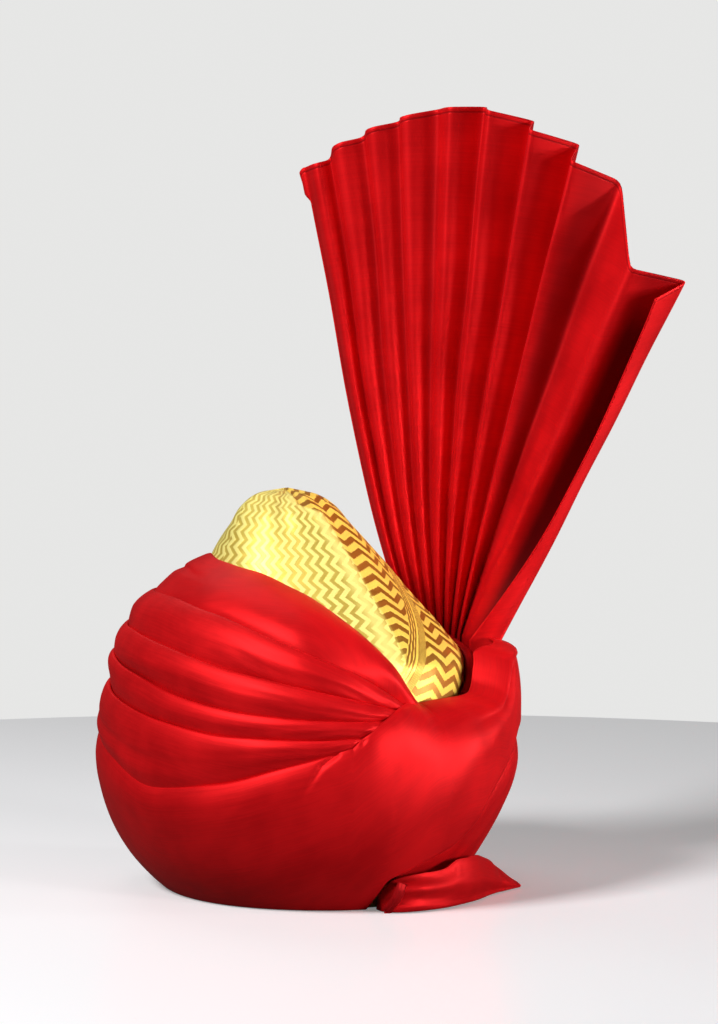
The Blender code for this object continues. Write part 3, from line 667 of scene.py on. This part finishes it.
def fold_grid(k):
    """One pleat: the section carried between crease k and crease k + 1."""
    turn_u, z_u, reach_u = (value[:, None] for value in crease(CREASES[k], fold_turns))
    turn_l, z_l, reach_l = (value[:, None] for value in crease(CREASES[k + 1], fold_turns))
    across, up, out = section(FOLD_SECTION, fold_path)
    station = fold_turns[:, None]
    arc = np.radians(station) * 0.13
    width = np.hypot(z_l - z_u, np.radians(turn_l - turn_u) * RADIUS_BODY)
    size = np.clip(width / 0.022, 0.22, 1.0)
    t = across[None, :]
    inner = np.clip(t, 0.0, 1.0)
    wander = 0.0006 * ripple(arc, 0.0 * arc, 20 + k, 0.09) * ease(-236.0, -225.0, station)
    turn = turn_u + (turn_l - turn_u) * t
    z = z_u + (z_l - z_u) * t + up[None, :] * 0.001 * size + wander * (1 - inner)
    reach = reach_u + (reach_l - reach_u) * np.sqrt(1 - (1 - inner) ** 2)
    gather = ease(-75.0, -6.0, station) * (1 - ease(0.0, 3.0, station))
    pull = np.sin(2 * math.pi * (2.6 * t + 0.5 * ripple(arc, t * 0.02, 40 + k, 0.12)) + k)
    radius = blend_radius(turn, z, reach) + out[None, :] * 0.001 * size
    radius += 0.00022 * pull * gather * size * ease(0.02, 0.2, t)
    radius += 0.00030 * ripple(arc, inner * width, 60 + k, 0.09) * ease(0.0, 0.2, t) * size
    full = ease(0.134, 0.152, z) * (1 - ease(0.178, 0.197, z))
    radius += SWELL * full * ease(-195.0, -150.0, turn) * (1 - ease(-95.0, -45.0, turn))
    if k == 4:
        radius += 0.0024 * ease(0.50, 0.80, t) * (1 - ease(-80.0, -55.0, turn))
    if k == 0:
        along = 1 - ease(-105.0, -72.0, turn)
        radius -= 0.0026 * along * np.exp(-(((t - 0.34) / 0.07) ** 2))
    sunk = 0.0030 * ease(-9.0, -0.5, station) + 0.0030 * ease(-0.5, 3.0, station)
    sunk = sunk + 0.0045 * (1 - ease(-243.0, -236.0, station))
    radius = np.maximum(radius - sunk, blend_radius(turn, z, 0.0) + 0.0009)
    return place(turn, radius, z)


folds = []
for k in range(5):
    folds.append(make_cloth("satin_fold_%d" % (k + 1), fold_grid(k), satin, FOLD_WALL))

# %% [markdown]
# The front wrap is one wide cloth that starts at the wearer's left, crosses the front, goes on
# round the back and ends below its own start. Its upper edge is rolled over like a pleat, its face
# is smooth and pulled tight, and three short darts spring from the gather. Past the back the upper
# edge slips below the first turn, so there the section changes from a roll to a flat leaf.

# %% Edges of the front wrap
POCKET = 0.0085
POCKET_FROM = 26.0
POCKET_TO = 37.5
ROLL_LIFT = 0.002
SHOULDER = 0.7
WRAP_WALL = 0.0009

# turn, height share, reach
WRAP_UPPER = (
    (119.4, 0.600, 0.45),
    (90.0, 0.603, 0.50),
    (78.0, 0.606, 0.56),
    (70.0, 0.608, 0.64),
    (63.0, 0.606, 0.66),
    (56.0, 0.602, 0.56),
    (50.0, 0.600, 0.36),
    (46.0, 0.590, 0.14),
    (43.5, 0.572, 0.08),
    (41.0, 0.545, 0.06),
    (38.5, 0.518, 0.06),
    (34.0, 0.497, 0.10),
    (28.0, 0.491, 0.12),
    (18.0, 0.491, 0.12),
    (7.5, 0.487, 0.12),
    (-1.0, 0.485, 0.45),
    (-5.5, 0.480, 0.70),
    (-10.5, 0.461, 0.90),
    (-16.6, 0.427, 1.00),
    (-21.0, 0.396, 1.00),
)

# turn, height share
WRAP_LOWER = (
    (119.4, 0.408),
    (70.0, 0.416),
    (50.0, 0.408),
    (38.5, 0.345),
    (27.7, 0.274),
    (22.4, 0.214),
    (14.2, 0.160),
    (6.8, 0.133),
    (-1.0, 0.103),
    (-6.7, 0.082),
    (-9.0, 0.040),
    (-10.5, 0.0),
)
print("upper edge of the wrap in front:", round(HEIGHT_CAP * WRAP_UPPER[13][1], 4), "m high")

# %% Sections of the front wrap
# path share, share across, up and out in millimetres: the rolled upper edge, the face, the hem
WRAP_SECTION = (
    (0.00, 0.10, 0.0, -3.2),
    (0.03, 0.03, 0.0, -3.0),
    (0.05, 0.008, 0.2, -2.0),
    (0.065, 0.0, 1.0, -0.9),
    (0.08, 0.0, 1.35, 0.2),
    (0.095, 0.0, 1.0, 1.3),
    (0.115, 0.008, 0.3, 2.1),
    (0.15, 0.03, 0.0, 2.9),
    (0.20, 0.07, 0.0, 3.8),
    (0.27, 0.13, 0.0, 4.4),
    (0.36, 0.22, 0.0, 4.0),
    (0.46, 0.34, 0.0, 2.6),
    (0.56, 0.47, 0.0, 1.3),
    (0.66, 0.60, 0.0, 0.4),
    (0.76, 0.73, 0.0, 0.0),
    (0.86, 0.86, 0.0, 0.0),
    (0.93, 0.95, 0.0, 0.2),
    (0.95, 0.985, 0.0, 0.2),
    (0.965, 1.0, -0.3, -0.5),
    (0.98, 0.99, 0.0, -1.7),
    (1.00, 0.93, 0.0, -2.4),
)

# path share, share across, up and out in millimetres: the leaf below the first turn
LEAF_SECTION = (
    (0.00, 0.0, 12.0, -6.0),
    (0.05, 0.0, 9.0, -5.8),
    (0.095, 0.0, 4.5, -4.5),
    (0.15, 0.01, 0.0, -3.6),
    (0.20, 0.05, 0.0, -2.2),
    (0.27, 0.12, 0.0, -0.5),
    (0.36, 0.22, 0.0, 0.6),
    (0.46, 0.34, 0.0, 0.5),
    (0.56, 0.47, 0.0, 0.0),
    (0.66, 0.60, 0.0, 0.0),
    (0.76, 0.73, 0.0, 0.0),
    (0.86, 0.86, 0.0, 0.0),
    (0.94, 0.97, 0.0, 0.0),
    (0.955, 0.992, 0.0, -0.1),
    (0.97, 1.0, -0.3, -1.0),
    (0.98, 0.99, 0.0, -2.2),
    (1.00, 0.93, 0.0, -2.8),
)
# turn and height along each dart
DART_LONG = ((-25.0, 0.1010), (-28.8, 0.0942), (-32.1, 0.0828), (-33.9, 0.0749))
DART_SHORT = ((-17.8, 0.1095), (-18.6, 0.1060))
DART_RIGHT = ((8.6, 0.1262), (8.4, 0.1215), (8.2, 0.1165))
print("sections of", len(WRAP_SECTION), "and", len(LEAF_SECTION), "stations")

# %% The front wrap


def wrap_edges(turn):
    """Heights of the upper and lower edge and the upper edge's reach at a turn of the whole way."""
    upper_turn, upper_share, upper_reach = np.array(WRAP_UPPER).T
    lower_turn, lower_share = np.array(WRAP_LOWER).T
    side_turn, side_height, _ = crease(CREASES[-1], np.linspace(BACK_TURN, 0.0, 200))
    front_z = HEIGHT_CAP * smooth_curve(upper_turn, upper_share, turn)
    side_z = np.interp(turn, side_turn, side_height)
    under_z = HEIGHT_CAP * smooth_curve(lower_turn, lower_share, turn + 360.0)
    front = turn > upper_turn[-1]
    z_u = np.where(front, front_z, np.where(turn > BACK_TURN, side_z, under_z))
    reach = np.where(front, smooth_curve(upper_turn, upper_reach, turn), 1.0)
    lower_z = HEIGHT_CAP * smooth_curve(lower_turn, lower_share, turn)
    return z_u, reach, np.where(turn >= lower_turn[-1], lower_z, 0.0)


def wrap_grid(turns, path):
    """The wide cloth: its section between both edges, with darts and soft unevenness."""
    z_u, reach_u, z_l = (value[:, None] for value in wrap_edges(turns))
    turn = turns[:, None]
    arc = np.radians(turn) * 0.13
    leaf = 1 - ease(-250.0, -238.0, turn)
    z_u = z_u + 0.0024 * ease(-28.0, -18.0, turn) * (1 - ease(2.0, 8.0, turn))
    rolled = section(WRAP_SECTION, path)
    flat = section(LEAF_SECTION, path)
    t, up, out = (a[None, :] + (b - a)[None, :] * leaf for a, b in zip(rolled, flat))
    inside = CLEARANCE + (POCKET - CLEARANCE) * ease(POCKET_FROM, POCKET_TO, turn)
    even = ease(8.0, 38.0, turn) * ease(0.10, 0.16, t) * (1 - ease(0.94, 0.97, t))
    out = out + (0.8 - out) * even
    roll = np.sin(math.pi * np.clip(t / 0.25, 0.0, 1.0))
    lift = ROLL_LIFT * ease(POCKET_TO, POCKET_TO + 18.0, turn) * roll
    z = z_u + (z_l - z_u) * t + up * 0.001 + lift
    short = SHOULDER - 0.25 * ease(4.0, 20.0, turn) - 0.13 * ease(20.0, 34.0, turn)
    short = short - 0.12 * ease(36.0, 56.0, turn)
    shoulder = np.sqrt(1 - (1 - np.clip(t / short, 0.0, 1.0)) ** 2)
    reach = reach_u + (1 - reach_u) * shoulder
    z = np.maximum(z, 0.0005)
    size = np.clip(np.abs(z_l - z_u) / 0.06, 0.4, 1.0)
    face = ease(0.02, 0.14, t)
    radius = blend_radius(turn, z, reach, inside)
    radius += out * 0.001 * size * np.where(t < 0.9, ease(-0.004, 0.03, z), 1.0)
    radius += crease_line(turn, z, DART_LONG, 0.0018, 0.0016)
    radius += crease_line(turn, z, DART_SHORT, 0.0012, 0.0011)
    radius += crease_line(turn, z, DART_RIGHT, 0.0016, 0.0010)
    radius += 0.0004 * ripple(arc, z, 81, 0.13) * face
    radius -= 0.0060 * ease(115.0, 121.5, turn)
    under = 1 - ease(-300.0, -262.0, turn)
    radius -= under * (0.0012 + 0.0060 * (1 - ease(0.025, 0.085, z)))
    return place(turn, np.maximum(radius, blend_radius(turn, z, 0.0) + 0.0009), z)


wrap_turns = stops((122.0, 66.0, 60), (66.0, 36.0, 70), (36.0, -60.0, 190), (-60.0, -250.0, 150),
                   (-250.0, -362.0, 90))
wrap_path = stops((0.0, 0.16, 26), (0.16, 0.93, 42), (0.93, 1.0, 11))
wrap = make_cloth("satin_wrap", wrap_grid(wrap_turns, wrap_path), satin, WRAP_WALL)

# %% [markdown]
# Between the brocade and the foot of the fan a strip of the same cloth lies against the cap. It is
# a plain folded layer in shadow, so a rolled strip in a darker finish is enough.

# %% The inner layer
LAYER_THICK = 0.0065
# turn, height share
LAYER_ROWS = (
    (118.8, 0.705),
    (104.0, 0.685),
    (90.0, 0.655),
    (81.0, 0.620),
    (67.0, 0.598),
    (58.0, 0.575),
    (50.0, 0.540),
    (40.0, 0.500),
)

# path share, down in millimetres, out as a share of the thickness
LAYER_SECTION = (
    (0.00, 14.0, 0.20),
    (0.15, 5.0, 0.20),
    (0.28, 1.0, 0.20),
    (0.36, 0.0, 0.40),
    (0.42, 0.0, 0.60),
    (0.50, 1.0, 0.85),
    (0.60, 4.0, 1.00),
    (0.80, 18.0, 0.90),
    (1.00, 36.0, 0.75),
)


def layer_grid(turns):
    """Strip along the row curve: its section gives the way down from the top edge and outward."""
    top = HEIGHT_CAP * smooth_curve(*np.array(LAYER_ROWS).T, turns)[:, None]
    down, out = section(LAYER_SECTION, np.linspace(0.0, 1.0, 40))
    z = top - down[None, :] * 0.001
    soft = 0.0004 * ripple(np.radians(turns)[:, None] * 0.1, z, 91, 0.03)
    radius = cap_radius(turns[:, None], z) + CLEARANCE + out[None, :] * LAYER_THICK + soft
    return place(turns[:, None], radius, z)


layer_points = layer_grid(np.linspace(119.5, 38.5, 110))
layer = make_cloth("satin_inner_strip", layer_points, satin_shaded, WRAP_WALL)

# %% [markdown]
# The fan is one stiffened length of satin, folded to and fro and gathered at its foot. Each fold
# line leans a little more than the one before. Between two lines the cloth is nearly flat, and at a
# line it turns over in a small arc: a straight-sided zigzag, smoothed by the second difference of
# its corners. The left folds are shallow and soft, the right ones deep and pressed. The left edge
# curls over at the top, and a hem runs below the upper edge.

# %% Sizes of the fan
FAN_LENGTH = 0.344
FAN_ROOT_HEIGHT = 0.1552
# left and right end of the foot: evenly spread, as crowded, and in depth
FAN_ROOT = ((0.066, 0.127), (0.066, 0.127), (0.078, 0.008))
FAN_ROOT_BULGE = 0.005
FAN_TOP_DEPTH = 0.075
FAN_TOP_SLOPE = -0.5
FAN_BOW = 0.0075
PLEAT_ROOT = 0.0055
PLEAT_TOP = 0.0155
FAN_TURN = -30.0
FAN_FOOT = 0.014
FAN_WALL = 0.0008
FAN_ROLL = 15
# fold line, share of the way along the foot, share toward the viewer, bow right, bow back: all but
# the last panel crowd into a knot, and the last one lies in front of it
FAN_ROOT_ROWS = (
    (0, 0.0, 0.0, 0.0, 0.0),
    (10, 0.30, 0.30, 0.0, 0.0),
    (15, 0.45, 0.45, 0.0, 0.0),
    (16, 0.47, 0.47, 0.0, 0.0),
    (17, 0.50, 0.50, 0.0025, -0.003),
    (18, 0.94, 1.0, 0.0022, 0.020),
    (19, 0.54, 0.86, 0.0110, 0.0),
)

# lean in degrees from upright, length share, side (1 away from the viewer, -1 toward)
FAN_ROWS = (
    (-12.8, 0.918, 1),
    (-12.5, 0.921, -1),
    (-11.0, 0.926, 1),
    (-11.1, 0.954, -1),
    (-8.0, 0.959, 1),
    (-8.3, 0.974, -1),
    (-5.2, 0.980, 1),
    (-5.7, 0.989, -1),
    (-2.2, 0.998, 1),
    (-1.9, 0.998, -1),
    (1.9, 1.000, 1),
    (1.3, 0.989, -1),
    (6.1, 0.976, 1),
    (4.9, 0.953, -1),
    (10.3, 0.940, 1),
    (8.8, 0.901, -1),
    (14.8, 0.884, 1),
    (18.1, 0.729, -1),
    (26.2, 0.746, 1),
    (22.0, 0.686, -1),
)
print(len(FAN_ROWS), "fold lines")

# %% Fold lines of the fan


def fan_lines(v):
    """Points of the fold lines (line, height step, 3) in the fan's own width, depth and height."""
    rows = np.array(FAN_ROWS, float)
    count = len(rows)
    along = np.arange(count)[:, None] / (count - 1)
    v = v[None, :]
    up = np.clip(v, 0.0, 1.0)
    foot = np.clip(-v, 0.0, 1.0)
    at, deep, bow, back = (value[:, None] for value in section(FAN_ROOT_ROWS, np.arange(count)))
    even_u, root_u, root_d = (
        left + (right - left) * way + FAN_ROOT_BULGE * 2.8 * way * (1 - way)
        for (left, right), way in zip(FAN_ROOT, (along, at, deep))
    )
    lean = np.radians(rows[:, :1])
    length = FAN_LENGTH * rows[:, 1:2]
    top_u = even_u + length * np.sin(lean)
    top_z = FAN_ROOT_HEIGHT + length * np.cos(lean)
    top_d = FAN_TOP_DEPTH + FAN_TOP_SLOPE * top_u
    u = root_u + (top_u - root_u) * up - FAN_BOW * (1 - along) * 6.75 * up * (1 - up) ** 2
    u = u + bow * 4 * up * (1 - up)
    z = FAN_ROOT_HEIGHT + (top_z - FAN_ROOT_HEIGHT) * up - FAN_FOOT * foot
    depth = root_d + (top_d - root_d) * up + back * 4 * up * (1 - up)
    pleat = (PLEAT_ROOT + (PLEAT_TOP - PLEAT_ROOT) * up) * (1 - 0.6 * foot)
    pleat = pleat * (0.46 + 0.54 * ease(0.30, 0.75, along) * up + 0.30 * (1 - up))
    depth = depth + rows[:, 2:3] * pleat
    return np.stack([u, depth, z], axis=-1)


def rounded(lines, a, half):
    """Zigzag with round corners: straight, plus (half - distance)^2 / 4 half x second difference."""
    last = len(lines) - 1
    k = np.clip(np.floor(a).astype(int), 0, last - 1)
    t = (a - k)[:, None, None]
    straight = lines[k] * (1 - t) + lines[k + 1] * t
    bend = np.zeros_like(lines)
    bend[1:-1] = lines[2:] - 2 * lines[1:-1] + lines[:-2]
    near = np.clip(np.rint(a).astype(int), 0, last)
    off = np.abs(a - near)[:, None, None]
    half = half[:, None, None]
    return straight + np.maximum(half - off, 0.0) ** 2 / (4 * half) * bend[near]


# %% The pleated fan


def fan_grid():
    """The whole sheet, with a curled strip added at its left edge."""
    v = stops((-1.0, 0.0, 8), (0.0, 0.9, 74), (0.9, 1.0, 22))
    lines = fan_lines(v)
    panel = np.concatenate([np.linspace(0.0, 1.0, 15)[:-1] + k for k in range(19)] + [[19.0]])
    share = panel / 19.0
    half = 0.38 - 0.25 * ease(0.30, 0.70, share)
    sheet = rounded(lines, panel, half)
    up = np.clip(v, 0.0, 1.0)[None, :]
    side = np.sin(math.pi * (panel % 1.0))[:, None]
    number = np.floor(panel)[:, None]
    belly = 0.0012 * side * np.where(number % 2 == 0, 1.0, -1.0) * up
    wave = 0.0011 * ripple(panel[:, None] * 0.013, up * 0.34, 101, 0.085) * ease(0.05, 0.5, up)
    edge = 0.0022 * ease(0.86, 1.0, share)[:, None] * np.sin(5.5 * up + 0.6) * np.sin(math.pi * up)
    sheet[..., 1] += belly + wave
    sheet[..., 0] += edge + 0.0005 * ripple(number * 0.05, up * 0.34, 102, 0.12) * ease(0.1, 0.6, up)
    lump = ease(0.925, 0.945, up[0])
    curl = 0.0006 + 0.0024 * lump
    around = np.linspace(-1.75 * math.pi, 0.0, FAN_ROLL + 1)[:-1, None]
    strip_u = sheet[0, :, 0] + curl * np.sin(around) - 0.0007 * lump * ease(0.0, 1.2, -around)
    strip_d = sheet[0, :, 1] + curl * (1 - np.cos(around))
    strip_z = sheet[0, :, 2] - 0.0035 * ease(0.96, 1.0, up[0]) * ease(0.2, 1.6, -around)
    sheet = np.concatenate([np.stack([strip_u, strip_d, strip_z], axis=-1), sheet], axis=0)
    hem = (1 - v)[None, :] * FAN_LENGTH + 0.0 * sheet[..., 0]
    # Painted shade for the pleats' depths: darker along the far fold lines and across the last panels on the
    # right, most in the second last, and a little weaker at the top edge.
    into = ease(0.08, 0.45, panel % 1.0) * (number[:, 0] % 2)
    shade = smooth_curve([11, 13, 15, 17, 18], [0.0, 0.12, 0.48, 0.95, 0.0], number[:, 0])
    painted_pleat_shade = np.maximum(0.30 * ease(0.45, 1.0, 0.5 + 0.5 * np.cos(math.pi * panel)), into * shade)
    painted_pleat_shade = painted_pleat_shade[:, None] * (0.45 + 0.55 * ease(0.0, 0.18, 1 - up))
    painted_pleat_shade = np.concatenate([np.zeros((FAN_ROLL, len(v))), painted_pleat_shade], axis=0)
    angle = math.radians(FAN_TURN)
    x = AXIS[0] + sheet[..., 0] * math.cos(angle) - sheet[..., 1] * math.sin(angle)
    y = AXIS[1] + sheet[..., 0] * math.sin(angle) + sheet[..., 1] * math.cos(angle)
    return np.stack([x, y, sheet[..., 2]], axis=-1), {"hem": hem, "painted_pleat_shade": painted_pleat_shade}


fan_points, fan_marks = fan_grid()
fan_width = np.linalg.norm(np.diff(fan_points[:, -1], axis=0), axis=-1).sum()
print("unfolded fan", round(float(fan_width), 3), "m wide at the top")
fan = make_cloth("satin_fan_pleats", fan_points, satin_fan, FAN_WALL, marks=fan_marks)

# %% [markdown]
# The free end lies on the table in front: a folded, hollow tongue of cloth that narrows to a tip.
# Its section is a closed loop of a few points at each turn, smoothed round by a periodic cubic.
# A narrow strap, an oval section carried along a path, holds its gathered end.

# %% Sizes of the free end
TAIL_HEIGHT = 0.030
TAIL_REACH = 0.1345
TAIL_SNUG = 0.0010
FLOOR_GAP = 0.0002
LOOP_WIDTH = 0.0070
LOOP_THICK = 0.002
LOOP_GAP = 0.0005

# turn, inner foot, outer foot, inner top, outer top as shares of the reach, height share
TAIL_ROWS = (
    (-7.0, 0.735, 0.780, 0.745, 0.775, 0.35),
    (-4.0, 0.730, 0.825, 0.805, 0.838, 0.66),
    (4.0, 0.730, 0.850, 0.848, 0.878, 0.78),
    (12.0, 0.730, 0.860, 0.858, 0.886, 0.82),
    (19.0, 0.730, 0.867, 0.865, 0.892, 0.98),
    (28.0, 0.735, 0.870, 0.862, 0.890, 0.97),
    (38.0, 0.745, 0.878, 0.852, 0.886, 0.81),
    (45.0, 0.785, 0.900, 0.850, 0.890, 0.64),
    (50.0, 0.860, 0.940, 0.885, 0.925, 0.44),
    (53.5, 0.930, 0.975, 0.940, 0.965, 0.24),
    (55.5, 0.985, 1.000, 0.988, 0.998, 0.12),
)
print("the free end reaches", TAIL_REACH, "m from the axis")

# %% The free end


def round_section(points, count):
    """Closed smooth curves through the corners of each section (rows, corners, values)."""
    corners = points.shape[1]
    s = np.arange(count) / count * corners
    k = np.floor(s).astype(int)
    t = (s - k)[None, :, None]
    a, b, c, d = (points[:, (k + shift) % corners] for shift in (-1, 0, 1, 2))
    near = (2 * t ** 3 - 3 * t ** 2 + 1) * b + (t ** 3 - 2 * t ** 2 + t) * (c - a) * 0.5
    far = (3 * t ** 2 - 2 * t ** 3) * c + (t ** 3 - t ** 2) * (d - b) * 0.5
    return near + far


def tail_grid(turns):
    """Tongue of cloth: section corners from the rows, rounded, with pulls that fan out."""
    *across, height = (value[:, None] for value in section(TAIL_ROWS, turns))
    foot_in, foot_out, top_in, top_out = (value * TAIL_REACH for value in across)
    tall = height * TAIL_HEIGHT
    z = np.array([[0.97, 1.0, 0.80, 0.45, 0.16, 0.0, 0.0, 0.30, 0.75, 0.93]]) * tall
    outer = [top_in * 0.5 + top_out * 0.5, top_out - 0.001, top_out]
    outer += [top_out * 0.45 + foot_out * 0.55 + 0.0012, top_out * 0.12 + foot_out * 0.88 + 0.0010, foot_out]
    hollow = [foot_in + (top_in - foot_in) * way - TAIL_SNUG for way in (0.0, 0.42, 0.85, 1.0)]
    radius = np.concatenate(outer + hollow, axis=1)
    both = round_section(np.stack([radius, z], axis=-1), 56)
    radius, z = both[..., 0], both[..., 1]
    turn = turns[:, None]
    level = z / np.maximum(tall, 1e-4)
    fade = (1 - ease(2.0, 26.0, turn)) * 0.0010 + 0.0003
    front = np.clip((radius - foot_in - 0.004) / 0.01, 0.0, 1.0)
    full = np.sin(math.pi * np.clip(level, 0.0, 1.0)) * ease(-5.0, 6.0, turn)
    pulls = np.sin(2 * math.pi * (1.9 * level + 0.012 * turn)) * ease(0.0, 0.15, level)
    radius = radius + 0.0030 * full * front + fade * pulls * front
    radius = radius + 0.0005 * ripple(np.radians(turn) * 0.12, z, 111, 0.03) * front
    z = np.maximum(z, 0.0) + FLOOR_GAP
    return place(turn, radius, z)


tail_points = tail_grid(np.linspace(-7.0, 55.5, 150))
tail = make_cloth("satin_tail", tail_points, satin, ring=True, ends=True)

# %% The strap


def tail_face(turn, share):
    """Radius and height of the tail's outer face at a turn, share 0 at the foot, 1 at the top."""
    _, foot_out, _, top_out, height = section(TAIL_ROWS, turn)
    radius = TAIL_REACH * (foot_out + (top_out - foot_out) * share)
    return radius + 0.0014 * np.sin(math.pi * share), TAIL_HEIGHT * height * share


def loop_grid():
    """Narrow strap: an oval section with two lobes, carried up the tail's outer face."""
    share = np.linspace(0.02, 0.90, 40)
    turn = -6.6 + 4.6 * share
    radius, z = tail_face(turn, share)
    radius = radius + LOOP_GAP + 0.0016 - 0.0012 * ease(0.7, 1.0, share)
    path = place(turn, radius, np.maximum(z, 0.0012))
    tangent = np.gradient(path, axis=0)
    tangent = tangent / np.linalg.norm(tangent, axis=1)[:, None]
    outward = np.array([math.sin(math.radians(-2.0)), -math.cos(math.radians(-2.0)), 0.0])
    side = np.cross(tangent, outward)
    side = side / np.linalg.norm(side, axis=1)[:, None]
    normal = np.cross(side, tangent)
    angle = np.linspace(0.0, 2 * math.pi, 29)[:-1]
    wide = np.cos(angle) * LOOP_WIDTH / 2
    groove = 0.35 * np.exp(-((wide / 0.0007) ** 2)) * (np.sin(angle) > 0)
    thick = np.sin(angle) * LOOP_THICK * 0.62 * (1 - groove)
    return path[:, None] + wide[None, :, None] * side[:, None] + thick[None, :, None] * normal[:, None]


loop = make_cloth("satin_strap", loop_grid(), satin_shaded, ring=True, ends=True)

# %% [markdown]
# Each piece rides on the one body of the part and stands for one of its solids, which is hidden.

# %% What each piece stands for
STANDS_FOR = [
    (cap_cover, "kulla_cap", "brocade_gold"),
    (wrap, "front_wrap", "satin_red"),
    (layer, "inner_layer", "satin_red"),
    (fan, "turra_fan", "satin_red"),
    (tail, "tail_end", "satin_red"),
    (loop, "tail_loop", "satin_red"),
]
STANDS_FOR += [(fold, "side_fold_%d" % (k + 1), "satin_red") for k, fold in enumerate(folds)]
for piece, solid, slot in STANDS_FOR:
    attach(piece, "root")
    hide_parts(solid)

# %% [markdown]
# The stage is a plain pale round table that ends behind the object, with a pale wall of light
# beyond. A slight gloss gives the soft reflection below the cloth. One broad light from the upper
# left gives the shadows. Two small ones with a narrow grid lift the front and the fan's last flap.

# %% The table
UP = np.array([0.0, 0.0, 1.0])
RIGHT = np.array([math.cos(math.radians(30.0)), -math.sin(math.radians(30.0)), 0.0])
AWAY = np.array([math.sin(math.radians(30.0)), math.cos(math.radians(30.0)), 0.0])
TARGET = AXIS + RIGHT * 0.0313 + UP * 0.239
DISTANCE = 2.0
ELEVATION = math.radians(3.0)


def make_table():
    """Round table top: rings of points from the middle out, its edge bent down."""
    angle = np.linspace(0.0, 2 * math.pi, 97)[:-1]
    radius = np.array([0.001, 0.25, 0.5, 0.75, 0.94, 0.948, 0.952, 0.953])
    drop = np.array([0.0, 0.0, 0.0, 0.0, 0.0, 0.001, 0.004, 0.03])
    x = AXIS[0] + radius[:, None] * np.cos(angle)[None, :]
    y = AXIS[1] + radius[:, None] * np.sin(angle)[None, :]
    z = np.broadcast_to(-0.0003 - drop[:, None], x.shape)
    faces, index = grid_faces(*x.shape, ring=True)
    faces = faces.tolist() + [index[0, :-1][::-1].tolist()]
    mesh = bpy.data.meshes.new("table_top")
    mesh.from_pydata(np.stack([x, y, z], axis=-1).reshape(-1, 3).tolist(), [], faces)
    finish, tree, shader = new_finish("table_white")
    direct = node(tree, "LightPath").outputs["Is Camera Ray"]
    fill(tree, shader, {
        "Base Color": blend_colour(tree, direct, (0.12, 0.12, 0.12), (0.93, 0.93, 0.95)),
        "Emission Color": (1.0, 1.0, 1.0, 1.0),
        "Emission Strength": sum_of(tree, "MULTIPLY", direct, 0.21),
        "Roughness": 0.28,
        "Specular IOR Level": 0.35,
    })
    mesh.materials.append(finish)
    return link_new("table_top", mesh)


make_table()
print("camera target", TARGET.round(4).tolist())

# %% The lights
MIDDLE = AXIS + UP * 0.16
FLAP = MIDDLE + RIGHT * 0.17 + UP * 0.14


def soft_light(name, at, aim, size, power, spread=180.0):
    """Square area light that looks from one point to another, with a grid that narrows it."""
    data = bpy.data.lights.new(name, "AREA")
    data.size = size
    data.energy = power
    data.spread = math.radians(spread)
    link_new(name, data, at, aim)
    print(name, "light of", power, "W")


LOW_FRONT = MIDDLE - UP * 0.08
soft_light("key", MIDDLE - AWAY * 1.15 - RIGHT * 1.20 + UP * 1.32, MIDDLE, 0.6, 48.0)
soft_light("front_right", MIDDLE - AWAY * 1.20 + RIGHT * 1.35 + UP * 0.12, LOW_FRONT, 0.4, 0.62, 26.0)
soft_light("right_side", FLAP + RIGHT * 1.60 - AWAY * 0.20 + UP * 0.10, FLAP, 0.3, 0.62, 20.0)
soft_light("top_back", MIDDLE + AWAY * 0.9 - RIGHT * 0.4 + UP * 1.4, MIDDLE, 0.9, 4.0)

# %% The room and the camera
world = bpy.data.worlds.new("pale_room")
world.use_nodes = True
tree = world.node_tree
background = tree.nodes["Background"]
seen = node(tree, "LightPath").outputs["Is Camera Ray"]
fill(tree, background, {"Color": (0.97, 0.97, 0.96, 1.0), "Strength": blend_value(tree, seen, 0.08, 0.82)})
bpy.context.scene.world = world
bpy.context.scene.view_settings.view_transform = "Standard"

camera_data = bpy.data.cameras.new("camera")
camera_data.lens = 110.0
camera_data.sensor_width = 36.0
eye = TARGET + (UP * math.sin(ELEVATION) - AWAY * math.cos(ELEVATION)) * DISTANCE
bpy.context.scene.camera = link_new("camera", camera_data, eye, TARGET)
print("camera at", [round(float(c), 3) for c in eye])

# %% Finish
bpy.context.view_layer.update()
